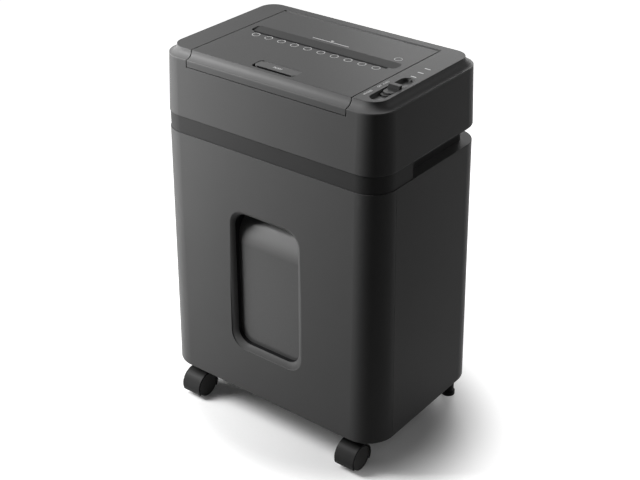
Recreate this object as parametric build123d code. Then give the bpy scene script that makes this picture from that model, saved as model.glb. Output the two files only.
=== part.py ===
from build123d import *
import math
import os

# Auto-feed paper shredder: a pull-out bin in a cabinet, a cutting head on top, casters in front.
# Sizes are in millimetres. Pieces are placed about the cabinet's centre line, with the front facing
# minus Y and the floor at Z 0, and the last step moves the origin under the middle of the footprint.

# Case
total_height = 600.5
case_width = 400.0
case_depth = 262.0
corner_radius = 40.0
wall = 3.0
head_height = 101.0
head_draft = 4.0
cove_radius = 12.0
belt_height = 27.0
belt_inset = 1.0
grip_depth = 17.0
grip_start = 81.5
grip_ceiling = 2.0
ground_clearance = 59.0
side_flare = 6.5
front_flare = 4.0
back_flare = 9.5
side_seam = 42.0
seam_gap = 0.5
ledge_width = 22.0
base_thickness = 4.0

# Lid, its hinge and its push tab
lid_width = 282.0
lid_depth = 225.5
lid_lip = 22.0
lid_gap = 1.5
lid_skirt = 9.0
rib_thickness = 2.5
hinge_barrel = 5.0
hinge_pin_radius = 2.0
hinge_pin_length = 13.0
tab_width = 73.0
tab_depth = 19.0
tab_thickness = 4.0
tab_pocket_depth = 8.0
tab_set_back = 12.0
tab_finger_gap = 7.0
tab_corner = 6.0
tab_barrel = 3.0
tab_pin_radius = 1.5
hook_width = 12.0
hook_drop = 32.0
hook_nose = 11.0
striker_gap = 1.5
striker_height = 4.0
striker_depth = 5.0

# Paper slot
slot_width = 232.0
slot_gap = 6.0
slot_set_back = 129.0
recess_width = 260.0
recess_depth = 2.5
recess_ramp = 17.5
recess_corner = 8.0
insert_flange = 2.0

# Control strip
slider_from_lid = 25.0
slider_set_back = 68.5
slider_recess_width = 21.0
slider_recess_length = 90.0
slider_recess_depth = 5.0
slider_travel = 12.0
slider_base_length = 42.0
slider_base_thickness = 2.0
slider_grip_length = 30.0
slider_grip_width = 18.6
slider_grip_height = 7.0
slider_step_height = 1.8
slider_stem = 5.0
switch_height = 12.0
lens_length = 9.5
lens_width = 2.0
lens_pitch = 17.5
lens_set_back = 138.0
lens_from_lid = 23.5
board_drop = 13.5
board_thickness = 1.6
board_margin = 9.0

# Back wall
vent_count = 9
vent_pitch = 15.0
vent_width = 4.0
vent_height = 34.0
vent_low = 24.0
inlet_side_gap = 50.0
inlet_height = 24.0
inlet_radius = 7.0
inlet_flange = 10.0
inlet_flange_thickness = 3.0
inlet_bore = 4.0

# Feed tray and rollers
tray_floor = 2.5
tray_wall = 2.5
tray_rim_gap = 0.3
tray_front_wall = 18.0
tray_front_gap = 5.0
roller_count = 4
roller_width = 20.0
roller_pitch = 58.0
roller_proud = 2.0
roller_window_gap = 2.5
feed_set_forward = 8.75
feed_hex = 4.6
feed_seat = 3.6
feed_journal = 4.0

# Cutters
disc_count = 18
disc_thickness = 6.0
disc_side_gap = 0.5
disc_overlap = 5.5
disc_hooks = 4
disc_relief = 3.0
collar_gap = 1.5
collar_sides = 10
shaft_hex = 8.0
shaft_journal = 6.0
gear_seat_hex = 5.0
comb_bar = 6.0
comb_height = 10.0
comb_gap = 2.75
comb_finger_gap = 0.5

# Gears
backlash_root = 0.34
backlash_tip = 0.10
sync_module = 2.3
sync_teeth = 15
drive_module = 1.5
drive_teeth = 36
second_pinion_teeth = 12
second_module = 1.0
second_teeth = 48
first_pinion_teeth = 12
first_module = 1.0
first_teeth = 50
motor_teeth = 10
feed_module = 1.5
feed_teeth = 13
gear_width = 8.0
slim_gear_width = 6.0
gear_spacing = 2.0
gear_clearance = 2.5
tray_clearance = 1.75
stud_radius = 3.0
stud_head = 5.0

# Frame of the cutting block
plate_thickness = 3.0
plate_margin = 45.0
cutter_end_gap = 5.75
bush_wall = 3.0
bush_flange = 2.0
tie_radius = 4.0
guide_thickness = 1.5
guide_taper = 4.5

# Motor
motor_radius = 25.0
motor_length = 106.0
motor_boss = 12.0
motor_boss_length = 4.0
motor_gap = 10.0
motor_floor_gap = 4.0
motor_shaft_radius = 2.5
motor_shaft_seat = 14.0

# Paper sensor
lever_reach = 13.0
lever_set_back = 14.0
lever_drop = 10.0
lever_thickness = 4.0
lever_bar = 3.0
lever_hub = 3.5
lever_pin_radius = 1.5
lug_thickness = 2.0

# Bin
tub_side_gap = 10.0
tub_front_gap = 13.0
tub_back_gap = 11.0
tub_low_gap = 6.0
tub_top_gap = 20.0
tub_wall = 2.5
tub_corner = 20.0
tub_rim = 3.0
tub_rim_height = 4.0
runner_width = 14.0
runner_side_gap = 70.0
window_width = 136.6
window_height = 245.0
window_low = 77.0
window_corner = 27.0
window_bevel = 9.0
window_bevel_depth = 6.0
bevel_first_angle = 25.0
bevel_last_angle = 70.0
bevel_steps = 5
frame_margin = 4.0
liner_thickness = 1.6
pane_thickness = 2.5
pane_margin = 7.0
scoop_radius = 55.0
scoop_low = 178.5
pocket_depth = 55.0
pocket_rise = 30.0
pocket_width = 122.0
pocket_wall = 2.0
bin_screw_side_gap = 40.0
bin_screw_inset = 40.0
bin_screw_radius = 2.0
bin_screw_head = 4.0
bin_boss = 5.0

# Casters and feet
caster_side_gap = 44.5
caster_set_back = 25.5
caster_trail = 14.0
wheel_radius = 20.0
wheel_width = 14.2
wheel_dish = 1.0
wheel_cover = 3.0
hood_radius = 23.5
hood_wall = 2.2
hood_width = 35.0
hood_low = 9.0
hood_web = 5.0
hood_neck = 8.0
axle_radius = 3.0
stem_radius = 5.0
stem_boss = 8.0
stem_seat = 7.0
foot_side_gap = 29.0
foot_set_in = 5.0
foot_radius = 9.0
foot_flare = 11.0
foot_flare_height = 6.0

# Clearances
fit_gap = 0.3
running_gap = 0.05
seat_gap = 0.1
overrun = 1.0

# Places worked out from the sizes
half_width = case_width / 2
half_depth = case_depth / 2
head_low = total_height - head_height
belt_low = head_low - belt_height
cove_low = total_height - cove_radius
top_inside = total_height - wall
front_top = -half_depth + head_draft
seam_y = -half_depth + side_seam
grip_front = -half_depth + grip_start
lid_half = lid_width / 2
lid_back = front_top + lid_depth
lid_low = total_height - lid_lip
plateau_front = front_top + cove_radius
hinge_y = lid_back - hinge_barrel
hinge_z = total_height - hinge_barrel
rim_low = top_inside - lid_skirt
slot_y = front_top + slot_set_back
floor_top = belt_low + wall
strip_edge = lid_half + lid_gap
slider_x = strip_edge + slider_from_lid
slider_y = front_top + slider_set_back
lens_x = strip_edge + lens_from_lid
lens_y = front_top + lens_set_back
inlet_x = -half_width + inlet_side_gap


def tip_radius(teeth, module):
    return teeth * module / 2 + module


def mesh_distance(teeth_a, teeth_b, module):
    return (teeth_a + teeth_b) * module / 2


# Cutting block, as (Y, Z) centres of its shafts
shaft_spacing = sync_module * sync_teeth
cutter_z = floor_top + tip_radius(drive_teeth, drive_module) + gear_clearance
front_shaft = (slot_y - shaft_spacing / 2, cutter_z)
rear_shaft = (slot_y + shaft_spacing / 2, cutter_z)
disc_radius = (shaft_spacing + disc_overlap) / 2
collar_radius = shaft_spacing - disc_radius - collar_gap
disc_pitch = 2 * (disc_thickness + disc_side_gap)
cutter_span = (disc_count + 0.5) * disc_pitch
plate_inside = cutter_span / 2 + cutter_end_gap
plate_outside = plate_inside + plate_thickness
feed_distance = 2 * mesh_distance(feed_teeth, feed_teeth, feed_module)
feed_rise = math.sqrt(feed_distance ** 2 - feed_set_forward ** 2)
feed_shaft = (front_shaft[0] - feed_set_forward, cutter_z + feed_rise)
idler = ((front_shaft[0] + feed_shaft[0]) / 2, (front_shaft[1] + feed_shaft[1]) / 2)
tray_low = feed_shaft[1] + tip_radius(feed_teeth, feed_module) + tray_clearance
tray_top = tray_low + tray_floor
roller_radius = tray_top + roller_proud - feed_shaft[1]
motor = (front_top + motor_gap + motor_radius, floor_top + motor_floor_gap + motor_radius)
second = (front_shaft[0] - mesh_distance(drive_teeth, second_pinion_teeth, drive_module), cutter_z)


def upper_meeting(centre_a, radius_a, centre_b, radius_b):
    """The higher of the two points that lie at the given distances from two centres."""
    run = (centre_b[0] - centre_a[0], centre_b[1] - centre_a[1])
    gap = math.hypot(*run)
    along = (radius_a ** 2 - radius_b ** 2 + gap ** 2) / (2 * gap)
    aside = math.sqrt(radius_a ** 2 - along ** 2)
    unit = (run[0] / gap, run[1] / gap)
    return (centre_a[0] + unit[0] * along - unit[1] * aside, centre_a[1] + unit[1] * along + unit[0] * aside)


first = upper_meeting(
    motor, mesh_distance(motor_teeth, first_teeth, first_module),
    second, mesh_distance(first_pinion_teeth, second_teeth, second_module),
)

# Layers of gears outside the right side plate, as (low, high) along X
sync_x = (plate_outside + gear_spacing, plate_outside + gear_spacing + gear_width)
drive_x = (sync_x[1] + slim_gear_width, sync_x[1] + slim_gear_width + gear_width)
second_x = (drive_x[1] + gear_spacing, drive_x[1] + gear_spacing + slim_gear_width)
first_x = (second_x[1] + gear_spacing, second_x[1] + gear_spacing + slim_gear_width)
feed_x = (-sync_x[1], -sync_x[0])

# Bin and window
tub_half_width = half_width - tub_side_gap
runner_x = tub_half_width - runner_side_gap
bin_screw_x = tub_half_width - bin_screw_side_gap
tub_front = -half_depth + tub_front_gap
tub_back = half_depth - tub_back_gap
tub_low = ground_clearance + base_thickness + tub_low_gap
tub_high = belt_low - tub_top_gap
pane_front = tub_front - pane_thickness
window_z = ground_clearance + window_low + window_height / 2
scoop_z = ground_clearance + window_low + scoop_low
pocket_back = pane_front + pocket_depth
shelf_top = scoop_z + scoop_radius
pocket_top = window_z + window_height / 2 - window_bevel + pocket_rise

# Casters and feet
caster_x = half_width - caster_side_gap
foot_x = half_width - foot_side_gap
stem_y = -half_depth + caster_set_back
wheel_y = stem_y - caster_trail
hood_top = wheel_radius + hood_radius
neck_top = hood_top + hood_neck

# The origin lies under the middle of the footprint, from the caster hoods to the cabinet's foot
footprint_front = wheel_y - hood_radius
footprint_back = half_depth + back_flare
origin = Pos(0, -(footprint_front + footprint_back) / 2, 0)


# Basic forms

def block(x, y, z):
    """A box from (low, high) limits along each axis."""
    low = (Align.MIN, Align.MIN, Align.MIN)
    return Pos(x[0], y[0], z[0]) * Box(x[1] - x[0], y[1] - y[0], z[1] - z[0], align=low)


def rounded_block(x, y, z, radius):
    """A box whose upright edges are rounded."""
    outline = Pos((x[0] + x[1]) / 2, (y[0] + y[1]) / 2, z[0]) * RectangleRounded(x[1] - x[0], y[1] - y[0], radius)
    return extrude(outline, z[1] - z[0])


def both_sides(x):
    return (-x, x)


def rod_x(radius, x, centre):
    foot = (Align.CENTER, Align.CENTER, Align.MIN)
    return Pos(x[0], centre[0], centre[1]) * Rot(0, 90, 0) * Cylinder(radius, x[1] - x[0], align=foot)


def rod_y(radius, y, x, z):
    foot = (Align.CENTER, Align.CENTER, Align.MIN)
    return Pos(x, y[0], z) * Rot(-90, 0, 0) * Cylinder(radius, y[1] - y[0], align=foot)


def rod_z(radius, z, x, y):
    foot = (Align.CENTER, Align.CENTER, Align.MIN)
    return Pos(x, y, z[0]) * Cylinder(radius, z[1] - z[0], align=foot)


def prism_x(face, x):
    """A flat face drawn in (Y, Z) and drawn out along X."""
    return extrude(Plane.YZ.offset(x[0]) * face, x[1] - x[0], dir=(1, 0, 0))


def polygon_x(points, x):
    return prism_x(make_face(Polyline(*points, close=True)), x)


def ring_points(radii, centre, start=0.0):
    """Points at even angles about a centre, one for each radius given."""
    step = 2 * math.pi / len(radii)
    turns = [math.radians(start) + step * i for i in range(len(radii))]
    return [
        (centre[0] + radius * math.cos(turn), centre[1] + radius * math.sin(turn))
        for radius, turn in zip(radii, turns)
    ]


def hexagon_x(radius, x, centre):
    return polygon_x(ring_points([radius] * 6, centre), x)


def group(shapes):
    """Separate solids kept in one piece list."""
    return Compound([solid for shape in shapes for solid in shape.solids()])


def mirrored(shape):
    return mirror(shape, about=Plane.YZ)


# Outer forms

def head_form(inset):
    """The head with drafted walls and a hollow cove round its top edge, drawn in by an inset."""
    draft_angle = math.degrees(math.atan2(head_draft, cove_low - head_low))
    outline = RectangleRounded(case_width - 2 * inset, case_depth - 2 * inset, corner_radius - inset)
    lower = extrude(Pos(0, 0, head_low) * outline, cove_low - head_low, taper=draft_angle)
    edge_size = (case_width - 2 * head_draft, case_depth - 2 * head_draft, corner_radius - head_draft)
    upper_outline = RectangleRounded(edge_size[0] - 2 * inset, edge_size[1] - 2 * inset, edge_size[2] - inset)
    upper = extrude(Pos(0, 0, cove_low) * upper_outline, cove_radius - inset)
    edge = (Pos(0, 0, total_height) * RectangleRounded(*edge_size)).wire()
    section = Plane(origin=edge @ 0, z_dir=edge % 0) * Circle(cove_radius + inset)
    return lower + upper - sweep(section, path=edge)


def cabinet_form(inset):
    """The cabinet's outline, flared from the belt to its foot and most of all behind, drawn in by an inset."""
    depth = case_depth + front_flare + back_flare - 2 * inset
    foot = RectangleRounded(case_width + 2 * side_flare - 2 * inset, depth, corner_radius + side_flare - inset)
    top = RectangleRounded(case_width - 2 * inset, case_depth - 2 * inset, corner_radius - inset)
    foot_y = (back_flare - front_flare) / 2
    return loft([Pos(0, foot_y, ground_clearance) * foot, Pos(0, 0, belt_low) * top], ruled=True)


def belt_form(inset, z):
    outline = RectangleRounded(case_width - 2 * inset, case_depth - 2 * inset, corner_radius - inset)
    return extrude(Pos(0, 0, z[0]) * outline, z[1] - z[0])


def head_skin():
    opening = Pos(0, 0, -overrun) * belt_form(wall, (head_low, head_low + overrun))
    return head_form(0) - head_form(wall) - opening


# Gears

def gear_points(teeth, module, centre, phase):
    """Straight-flanked teeth, the first one centred on the phase angle in degrees."""
    pitch = 2 * math.pi / teeth
    root = teeth * module / 2 - 1.25 * module
    tip = tip_radius(teeth, module)
    points = []
    for i in range(teeth):
        middle = math.radians(phase) + pitch * i
        corners = ((root, -backlash_root), (tip, -backlash_tip), (tip, backlash_tip), (root, backlash_root))
        for radius, turn in corners:
            angle = middle + turn * pitch
            points.append((centre[0] + radius * math.cos(angle), centre[1] + radius * math.sin(angle)))
    return points


def meshed_phase(phase, teeth, centre, other_teeth, other_centre):
    """The phase that puts the other gear's gap on this gear's tooth along the line of centres."""
    run = (other_centre[0] - centre[0], other_centre[1] - centre[1])
    line = math.degrees(math.atan2(run[1], run[0]))
    turned = (line - phase) * teeth / 360
    return line + 180 - (0.5 - turned) * 360 / other_teeth


def gear(teeth, module, x, centre, phase):
    return polygon_x(gear_points(teeth, module, centre, phase), x)


drive_phase = 0.0
second_pinion_phase = meshed_phase(drive_phase, drive_teeth, front_shaft, second_pinion_teeth, second)
second_phase = 0.0
first_pinion_phase = meshed_phase(second_phase, second_teeth, second, first_pinion_teeth, first)
first_phase = 0.0
motor_phase = meshed_phase(first_phase, first_teeth, first, motor_teeth, motor)
sync_phase = 0.0
rear_sync_phase = meshed_phase(sync_phase, sync_teeth, front_shaft, sync_teeth, rear_shaft)
feed_pinion_phase = 0.0
idler_phase = meshed_phase(feed_pinion_phase, feed_teeth, front_shaft, feed_teeth, idler)
feed_phase = meshed_phase(idler_phase, feed_teeth, idler, feed_teeth, feed_shaft)


# Cabinet

def cabinet_shell():
    """Two sides and a back in one moulding, with a ledge under the head."""
    behind_seam = block(both_sides(case_width), (seam_y, case_depth), (0, total_height))
    skin = cabinet_form(0) - cabinet_form(wall)
    ledge_zone = block(both_sides(case_width), (seam_y, case_depth), (belt_low - wall, belt_low))
    ledge = (cabinet_form(0) & ledge_zone) - belt_form(ledge_width, (belt_low - 2 * wall, belt_low + wall))
    return (skin & behind_seam) + ledge


def base_plate():
    """The floor of the cabinet, with sockets for the caster stems."""
    high = ground_clearance + base_thickness
    plate_zone = block(both_sides(case_width), both_sides(case_depth), (ground_clearance, high))
    plate = cabinet_form(wall + fit_gap) & plate_zone
    for x in both_sides(caster_x):
        plate += rod_z(stem_boss, (ground_clearance, tub_low - overrun), x, stem_y)
        plate -= rod_z(stem_radius + running_gap, (0, ground_clearance + stem_seat), x, stem_y)
    return plate


def bin_runners():
    low = ground_clearance + base_thickness
    span = (tub_front, tub_back)
    right = block((runner_x - runner_width / 2, runner_x + runner_width / 2), span, (low, tub_low - fit_gap))
    return group([right, mirrored(right)])


def rear_feet():
    y = half_depth - foot_set_in
    right = rod_z(foot_radius, (0, ground_clearance), foot_x, y)
    right += rod_z(foot_flare, (0, foot_flare_height), foot_x, y)
    return group([right, mirrored(right)])


# Head

def slider_slot(length, width, z):
    outline = Pos(slider_x, slider_y, z[0]) * SlotOverall(length, width, rotation=90)
    return extrude(outline, z[1] - z[0])


def lens_places():
    return [lens_y + (i - 1) * lens_pitch for i in range(3)]


def head_shell():
    """The head's cover: open for the lid, with the control strip on the right and vents behind."""
    edge = lid_half + lid_gap
    back = lid_back + lid_gap
    opening_y = (-case_depth, back)
    shell = head_skin()
    pad_low = total_height - slider_recess_depth - wall - overrun
    pad_length = slider_recess_length + 2 * wall
    pad_width = slider_recess_width + 2 * wall
    pad = slider_slot(pad_length, pad_width, (pad_low, top_inside + overrun))
    rim_y = (plateau_front + wall, back)
    for x in ((edge, edge + tray_wall), (-edge - tray_wall, -edge)):
        shell += block(x, (rim_y[0], back + tray_wall), (rim_low, top_inside + overrun))
    shell += block(both_sides(edge + tray_wall), (back, back + tray_wall), (rim_low, top_inside + overrun))
    lug_y = (hinge_y - 2 * hinge_barrel / 2, back)
    for x in ((edge, edge + hinge_pin_length / 2), (-edge - hinge_pin_length / 2, -edge)):
        shell += block(x, lug_y, (rim_low, top_inside + overrun))
    shell += pad
    shell -= block(both_sides(edge), opening_y, (lid_low - lid_gap, total_height + overrun))
    shell -= rod_x(hinge_pin_radius + running_gap, both_sides(edge + hinge_pin_length), (hinge_y, hinge_z))
    recess_low = total_height - slider_recess_depth
    shell -= slider_slot(slider_recess_length, slider_recess_width, (recess_low, total_height + overrun))
    stem_slot = slider_stem + 2 * slider_travel + 2 * fit_gap
    shell -= slider_slot(stem_slot, slider_stem + 2 * fit_gap, (pad_low - overrun, total_height))
    hole = (lens_length + 2 * seat_gap, lens_width + 2 * seat_gap)
    for y in lens_places():
        outline = Pos(lens_x, y, top_inside - overrun) * SlotOverall(*hole)
        shell -= extrude(outline, wall + 2 * overrun)
    for y in board_post_places():
        shell += rod_z(wall, (board_top(), top_inside + overrun), lens_x, y)
    vent_z = (head_low + vent_low, head_low + vent_low + vent_height)
    for i in range(vent_count):
        x = (i - (vent_count - 1) / 2) * vent_pitch
        shell -= block((x - vent_width / 2, x + vent_width / 2), (half_depth - 4 * wall, case_depth), vent_z)
    shell -= rod_y(inlet_radius + running_gap, (0, case_depth), inlet_x, head_low + inlet_height)
    return shell


def head_base():
    """The dark belt: flush in front, drawn in behind as a finger grip, with a floor open for the shreds."""
    high = (belt_low, head_low)
    above_floor = (floor_top, head_low + overrun)
    everywhere = (0, total_height)
    front = block(both_sides(case_width), (-case_depth, grip_front), everywhere)
    front_inside = block(both_sides(case_width), (-case_depth, grip_front - wall), everywhere)
    body = (belt_form(belt_inset, high) & front) + belt_form(grip_depth, high)
    body += belt_form(belt_inset, (head_low - grip_ceiling, head_low))
    body -= belt_form(grip_depth + wall, above_floor)
    body -= belt_form(belt_inset + wall, above_floor) & front_inside
    reach = shaft_spacing / 2 + disc_radius + comb_gap + comb_bar + overrun
    outlet_y = (slot_y - reach, slot_y + reach)
    return body - block(both_sides(plate_inside - wall), outlet_y, (belt_low - overrun, floor_top + overrun))


def cord_inlet():
    """A bushed inlet in the back wall."""
    z = head_low + inlet_height
    wall_lean = head_draft * (inlet_height - inlet_flange) / (cove_low - head_low)
    face = half_depth - wall_lean
    ring = rod_y(inlet_radius, (face - 2 * wall, face + running_gap), inlet_x, z)
    ring += rod_y(inlet_flange, (face + running_gap, face + running_gap + inlet_flange_thickness), inlet_x, z)
    return ring - rod_y(inlet_bore, (0, case_depth), inlet_x, z)


# Controls

def mode_slider():
    """A thumb slide: a long base, a low step in front of a raised stop, and a stem to the switch."""
    low = total_height - slider_recess_depth + seat_gap
    middle = low + slider_base_thickness
    high = middle + slider_grip_height
    step = middle + slider_step_height
    width = slider_recess_width - 2 * fit_gap
    slide = slider_slot(slider_base_length, width, (low, middle))
    half = slider_grip_length / 2
    profile = [
        (slider_y - half, low), (slider_y - half, step), (slider_y - half / 6, step),
        (slider_y + half / 6, step + slider_step_height / 2), (slider_y + half / 4, high),
        (slider_y + half * 3 / 4, high), (slider_y + half, step), (slider_y + half, low),
    ]
    grip = polygon_x(profile, (slider_x - slider_grip_width / 2, slider_x + slider_grip_width / 2))
    grip &= slider_slot(slider_grip_length, slider_grip_width, (low, high + overrun))
    stem_low = switch_top() - switch_height + 2 * wall
    return slide + grip + slider_slot(slider_stem, slider_stem - seat_gap, (stem_low, middle))


def switch_top():
    return total_height - slider_recess_depth - wall - overrun


def slide_switch():
    """The switch body under the control strip, with a channel for the slider's stem."""
    half_length = slider_travel + slider_stem / 2 + 2 * wall
    top = switch_top()
    span = (slider_y - half_length, slider_y + half_length)
    body = block((slider_x - slider_stem - wall, slider_x + slider_stem + wall), span, (top - switch_height, top))
    channel = slider_stem + 2 * slider_travel + 4 * fit_gap
    return body - slider_slot(channel, slider_stem + 4 * fit_gap, (top - switch_height + wall, top + overrun))


def board_top():
    return top_inside - board_drop


def board_post_places():
    reach = lens_pitch + board_margin
    return (lens_y - reach + wall, lens_y + reach - wall)


def control_board():
    reach = lens_pitch + board_margin
    width = (lens_x - lens_length / 2 - board_margin, lens_x + lens_length / 2 + board_margin)
    return block(width, (lens_y - reach, lens_y + reach), (board_top() - board_thickness, board_top()))


def indicator_lenses():
    lenses = []
    for y in lens_places():
        outline = Pos(lens_x, y, board_top()) * SlotOverall(lens_length, lens_width)
        lenses.append(extrude(outline, total_height - board_top()))
    return group(lenses)


# Lid

def tab_places():
    """Y limits of the push tab and of its pocket, and the (Y, Z) axis of the tab."""
    tab_front = plateau_front + tab_set_back
    tab_back = tab_front + tab_depth
    pocket = (tab_front - tab_finger_gap, tab_back + fit_gap)
    axis = (tab_back - tab_barrel, total_height - overrun / 2 - tab_barrel)
    return (tab_front, tab_back), pocket, axis


def insert_limits():
    """Y limits of the slot insert and the Z of its seat under the lid."""
    slot_front = slot_y - slot_gap / 2
    return (slot_front, slot_front + slot_gap + recess_ramp), total_height - recess_depth - 2 * wall


def insert_form(outset, z):
    span = insert_limits()[0]
    half = recess_width / 2 + outset
    return rounded_block(both_sides(half), (span[0] - outset, span[1] + outset), z, recess_corner + outset)


def slot_insert():
    """The dark insert in the lid: a ramp that falls forward to the paper slit, on a flange under the lid."""
    (slot_front, ramp_end), seat = insert_limits()
    slot_back = slot_front + slot_gap
    recess_low = total_height - recess_depth
    ramp = [
        (slot_front - overrun, total_height + overrun), (slot_front - overrun, recess_low), (slot_back, recess_low),
        (ramp_end, total_height), (ramp_end, total_height + overrun),
    ]
    insert = insert_form(0, (seat, total_height)) - polygon_x(ramp, both_sides(recess_width))
    insert += insert_form(insert_flange, (seat - insert_flange, seat))
    slit = (slot_front, slot_back)
    return insert - block(both_sides(slot_width / 2), slit, (seat - 2 * insert_flange, total_height))


def lid():
    """The hinged lid: a lipped plate with a hole for the slot insert, a pocket for the tab and a barrel."""
    tab, pocket, axis = tab_places()
    zone = block(both_sides(lid_half), (-case_depth, lid_back), (lid_low, total_height + overrun))
    cover = head_skin() & zone
    inner = lid_half - rib_thickness
    skirt_y = (plateau_front + wall, hinge_y - hinge_barrel)
    for x in ((inner, lid_half), (-lid_half, -inner)):
        cover += block(x, skirt_y, (rim_low, top_inside + overrun))
    span, pad_low = insert_limits()
    pad_y = (span[0] - wall, span[1] + wall)
    cover += block(both_sides(recess_width / 2 + wall), pad_y, (pad_low, top_inside + overrun))
    pocket_low = total_height - tab_pocket_depth
    pad_x = both_sides(tab_width / 2 + fit_gap + wall)
    cover += block(pad_x, (pocket[0] - wall, pocket[1] + wall), (pocket_low - wall, top_inside + overrun))
    for x in (-lid_half / 2, 0, lid_half / 2):
        rib = (x - rib_thickness / 2, x + rib_thickness / 2)
        cover += block(rib, (pocket[1], hinge_y), (pad_low, top_inside + overrun))
    cover -= block(both_sides(lid_width), (hinge_y, case_depth), (0, total_height + overrun))
    cover += rod_x(hinge_barrel, both_sides(lid_half), (hinge_y, hinge_z))
    bore_start = lid_half - hinge_pin_length / 2
    for bore_x in ((bore_start, lid_width), (-lid_width, -bore_start)):
        cover -= rod_x(hinge_pin_radius + running_gap, bore_x, (hinge_y, hinge_z))
    cover -= insert_form(seat_gap, (pad_low - overrun, total_height + overrun))
    pocket_x = both_sides(tab_width / 2 + fit_gap)
    cover -= rounded_block(pocket_x, pocket, (pocket_low, total_height + overrun), tab_corner + fit_gap)
    hook_y = hook_span(tab)
    hook_hole = (hook_y[0] - wall, hook_y[1] + 2 * wall)
    cover -= block(both_sides(hook_width / 2 + overrun), hook_hole, (pocket_low - 2 * wall, total_height))
    pin_reach = both_sides(tab_width / 2 + wall - overrun)
    return cover - rod_x(tab_pin_radius + running_gap, pin_reach, axis)


def hook_span(tab):
    """Y limits of the latch arm under the front of the tab."""
    return (tab[0] + wall, tab[0] + 2 * wall)


def hook_limits():
    """Z limits of the nose at the end of the latch arm."""
    low = total_height - overrun / 2 - tab_thickness - hook_drop
    return (low, low + striker_height)


def tray_front():
    return front_top + tray_front_gap


def push_tab():
    """The tab that is pressed to free the lid, with the latch arm that hangs from it."""
    tab, pocket, axis = tab_places()
    high = total_height - overrun / 2
    plate = block(both_sides(tab_width / 2), (tab[0], axis[0]), (high - tab_thickness, high))
    plate += rod_x(tab_barrel, both_sides(tab_width / 2), axis)
    plate &= rounded_block(both_sides(tab_width / 2), tab, (axis[1] - 2 * tab_barrel, high), tab_corner)
    arm_y = hook_span(tab)
    nose_z = hook_limits()
    half = both_sides(hook_width / 2)
    plate += block(half, arm_y, (nose_z[0], high - overrun))
    nose_front = tray_front() + tray_wall + striker_depth + striker_gap
    plate += block(half, (nose_front, arm_y[1]), nose_z)
    return plate - rod_x(tab_pin_radius + running_gap, both_sides(tab_width), axis)


def tab_pin():
    axis = tab_places()[2]
    return rod_x(tab_pin_radius, both_sides(tab_width / 2 + wall - overrun), axis)


def lid_hinge_pins():
    edge = lid_half + lid_gap + hinge_pin_length / 2
    right = rod_x(hinge_pin_radius, (edge - hinge_pin_length, edge), (hinge_y, hinge_z))
    return group([right, mirrored(right)])


# Feed tray and rollers

def roller_places():
    return [(i - (roller_count - 1) / 2) * roller_pitch for i in range(roller_count)]


def feed_tray():
    """The tray under the lid for a stack of sheets, with the throat, roller windows and the striker."""
    inside = lid_half + lid_gap
    outside = inside + tray_wall
    front = tray_front()
    back = lid_back + lid_gap
    high = rim_low - tray_rim_gap
    tray = block(both_sides(outside), (front, back + tray_wall), (tray_low, tray_top))
    front_high = tray_top + tray_front_wall
    for x in ((inside, outside), (-outside, -inside)):
        tray += block(x, (front, back + tray_wall), (tray_low, front_high))
        tray += block(x, (plateau_front + 2 * wall, back + tray_wall), (tray_low, high))
    tray += block(both_sides(outside), (back, back + tray_wall), (tray_low, high))
    tray += block(both_sides(outside), (front, front + tray_wall), (tray_low, front_high))
    nose = hook_limits()
    striker = (front + tray_wall - seat_gap, front + tray_wall + striker_depth)
    striker_low = nose[1] + overrun
    tray += block(both_sides(hook_width / 2 + wall), striker, (striker_low, striker_low + striker_height))
    throat = (slot_y - throat_half(), slot_y + throat_half())
    tray -= block(both_sides(slot_width / 2 + wall), throat, (tray_low - overrun, tray_top + overrun))
    chord = math.sqrt(roller_radius ** 2 - (tray_low - feed_shaft[1]) ** 2) + roller_window_gap
    window_y = (feed_shaft[0] - chord, feed_shaft[0] + chord)
    for x in roller_places():
        half = roller_width / 2 + roller_window_gap
        tray -= block((x - half, x + half), window_y, (tray_low - overrun, tray_top + overrun))
    pivot = lever_pivot()
    lug_y = (pivot[0] - lever_hub, pivot[0] + lever_hub)
    for x in lug_places():
        tray += block(x, lug_y, (pivot[1] - lever_hub, tray_low + seat_gap))
    return tray - rod_x(lever_pin_radius + running_gap, both_sides(lever_thickness * 2), pivot)


def throat_half():
    return slot_gap / 2 + guide_taper - seat_gap * 5


def throat_guides():
    """Two sloped plates that lead the paper from the tray to the cutters."""
    low = cutter_z + disc_radius - 2.0
    near = throat_half()
    far = near - guide_taper
    x = both_sides(plate_inside - fit_gap)
    rear = [
        (slot_y + near, tray_low), (slot_y + near + guide_thickness, tray_low),
        (slot_y + far + guide_thickness, low), (slot_y + far, low),
    ]
    front = [(2 * slot_y - y, z) for y, z in rear]
    slot = block(both_sides(lever_thickness), (slot_y, slot_y + 4 * near), (low + 2 * wall, total_height))
    return group([polygon_x(front, x), polygon_x(rear, x) - slot])


def lever_pivot():
    return (slot_y + lever_set_back, tray_low - lever_drop)


def lug_places():
    near = lever_thickness / 2 + fit_gap
    return ((near, near + lug_thickness), (-near - lug_thickness, -near))


def sensor_lever():
    """The lever that the paper's edge pushes down."""
    pivot = lever_pivot()
    x = both_sides(lever_thickness / 2)
    tip = pivot[0] - lever_reach
    arm = [
        (pivot[0], pivot[1] - lever_bar / 2), (pivot[0], pivot[1] + lever_bar / 2),
        (tip, pivot[1] + lever_bar / 2), (tip - lever_bar / 3, pivot[1]), (tip, pivot[1] - lever_bar / 2),
    ]
    hub = polygon_x(ring_points([lever_hub] * 8, pivot), x)
    return hub + polygon_x(arm, x) - rod_x(lever_pin_radius + running_gap, both_sides(case_width), pivot)


def lever_pin():
    reach = lug_places()[0][1]
    return rod_x(lever_pin_radius, both_sides(reach), lever_pivot())


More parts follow.
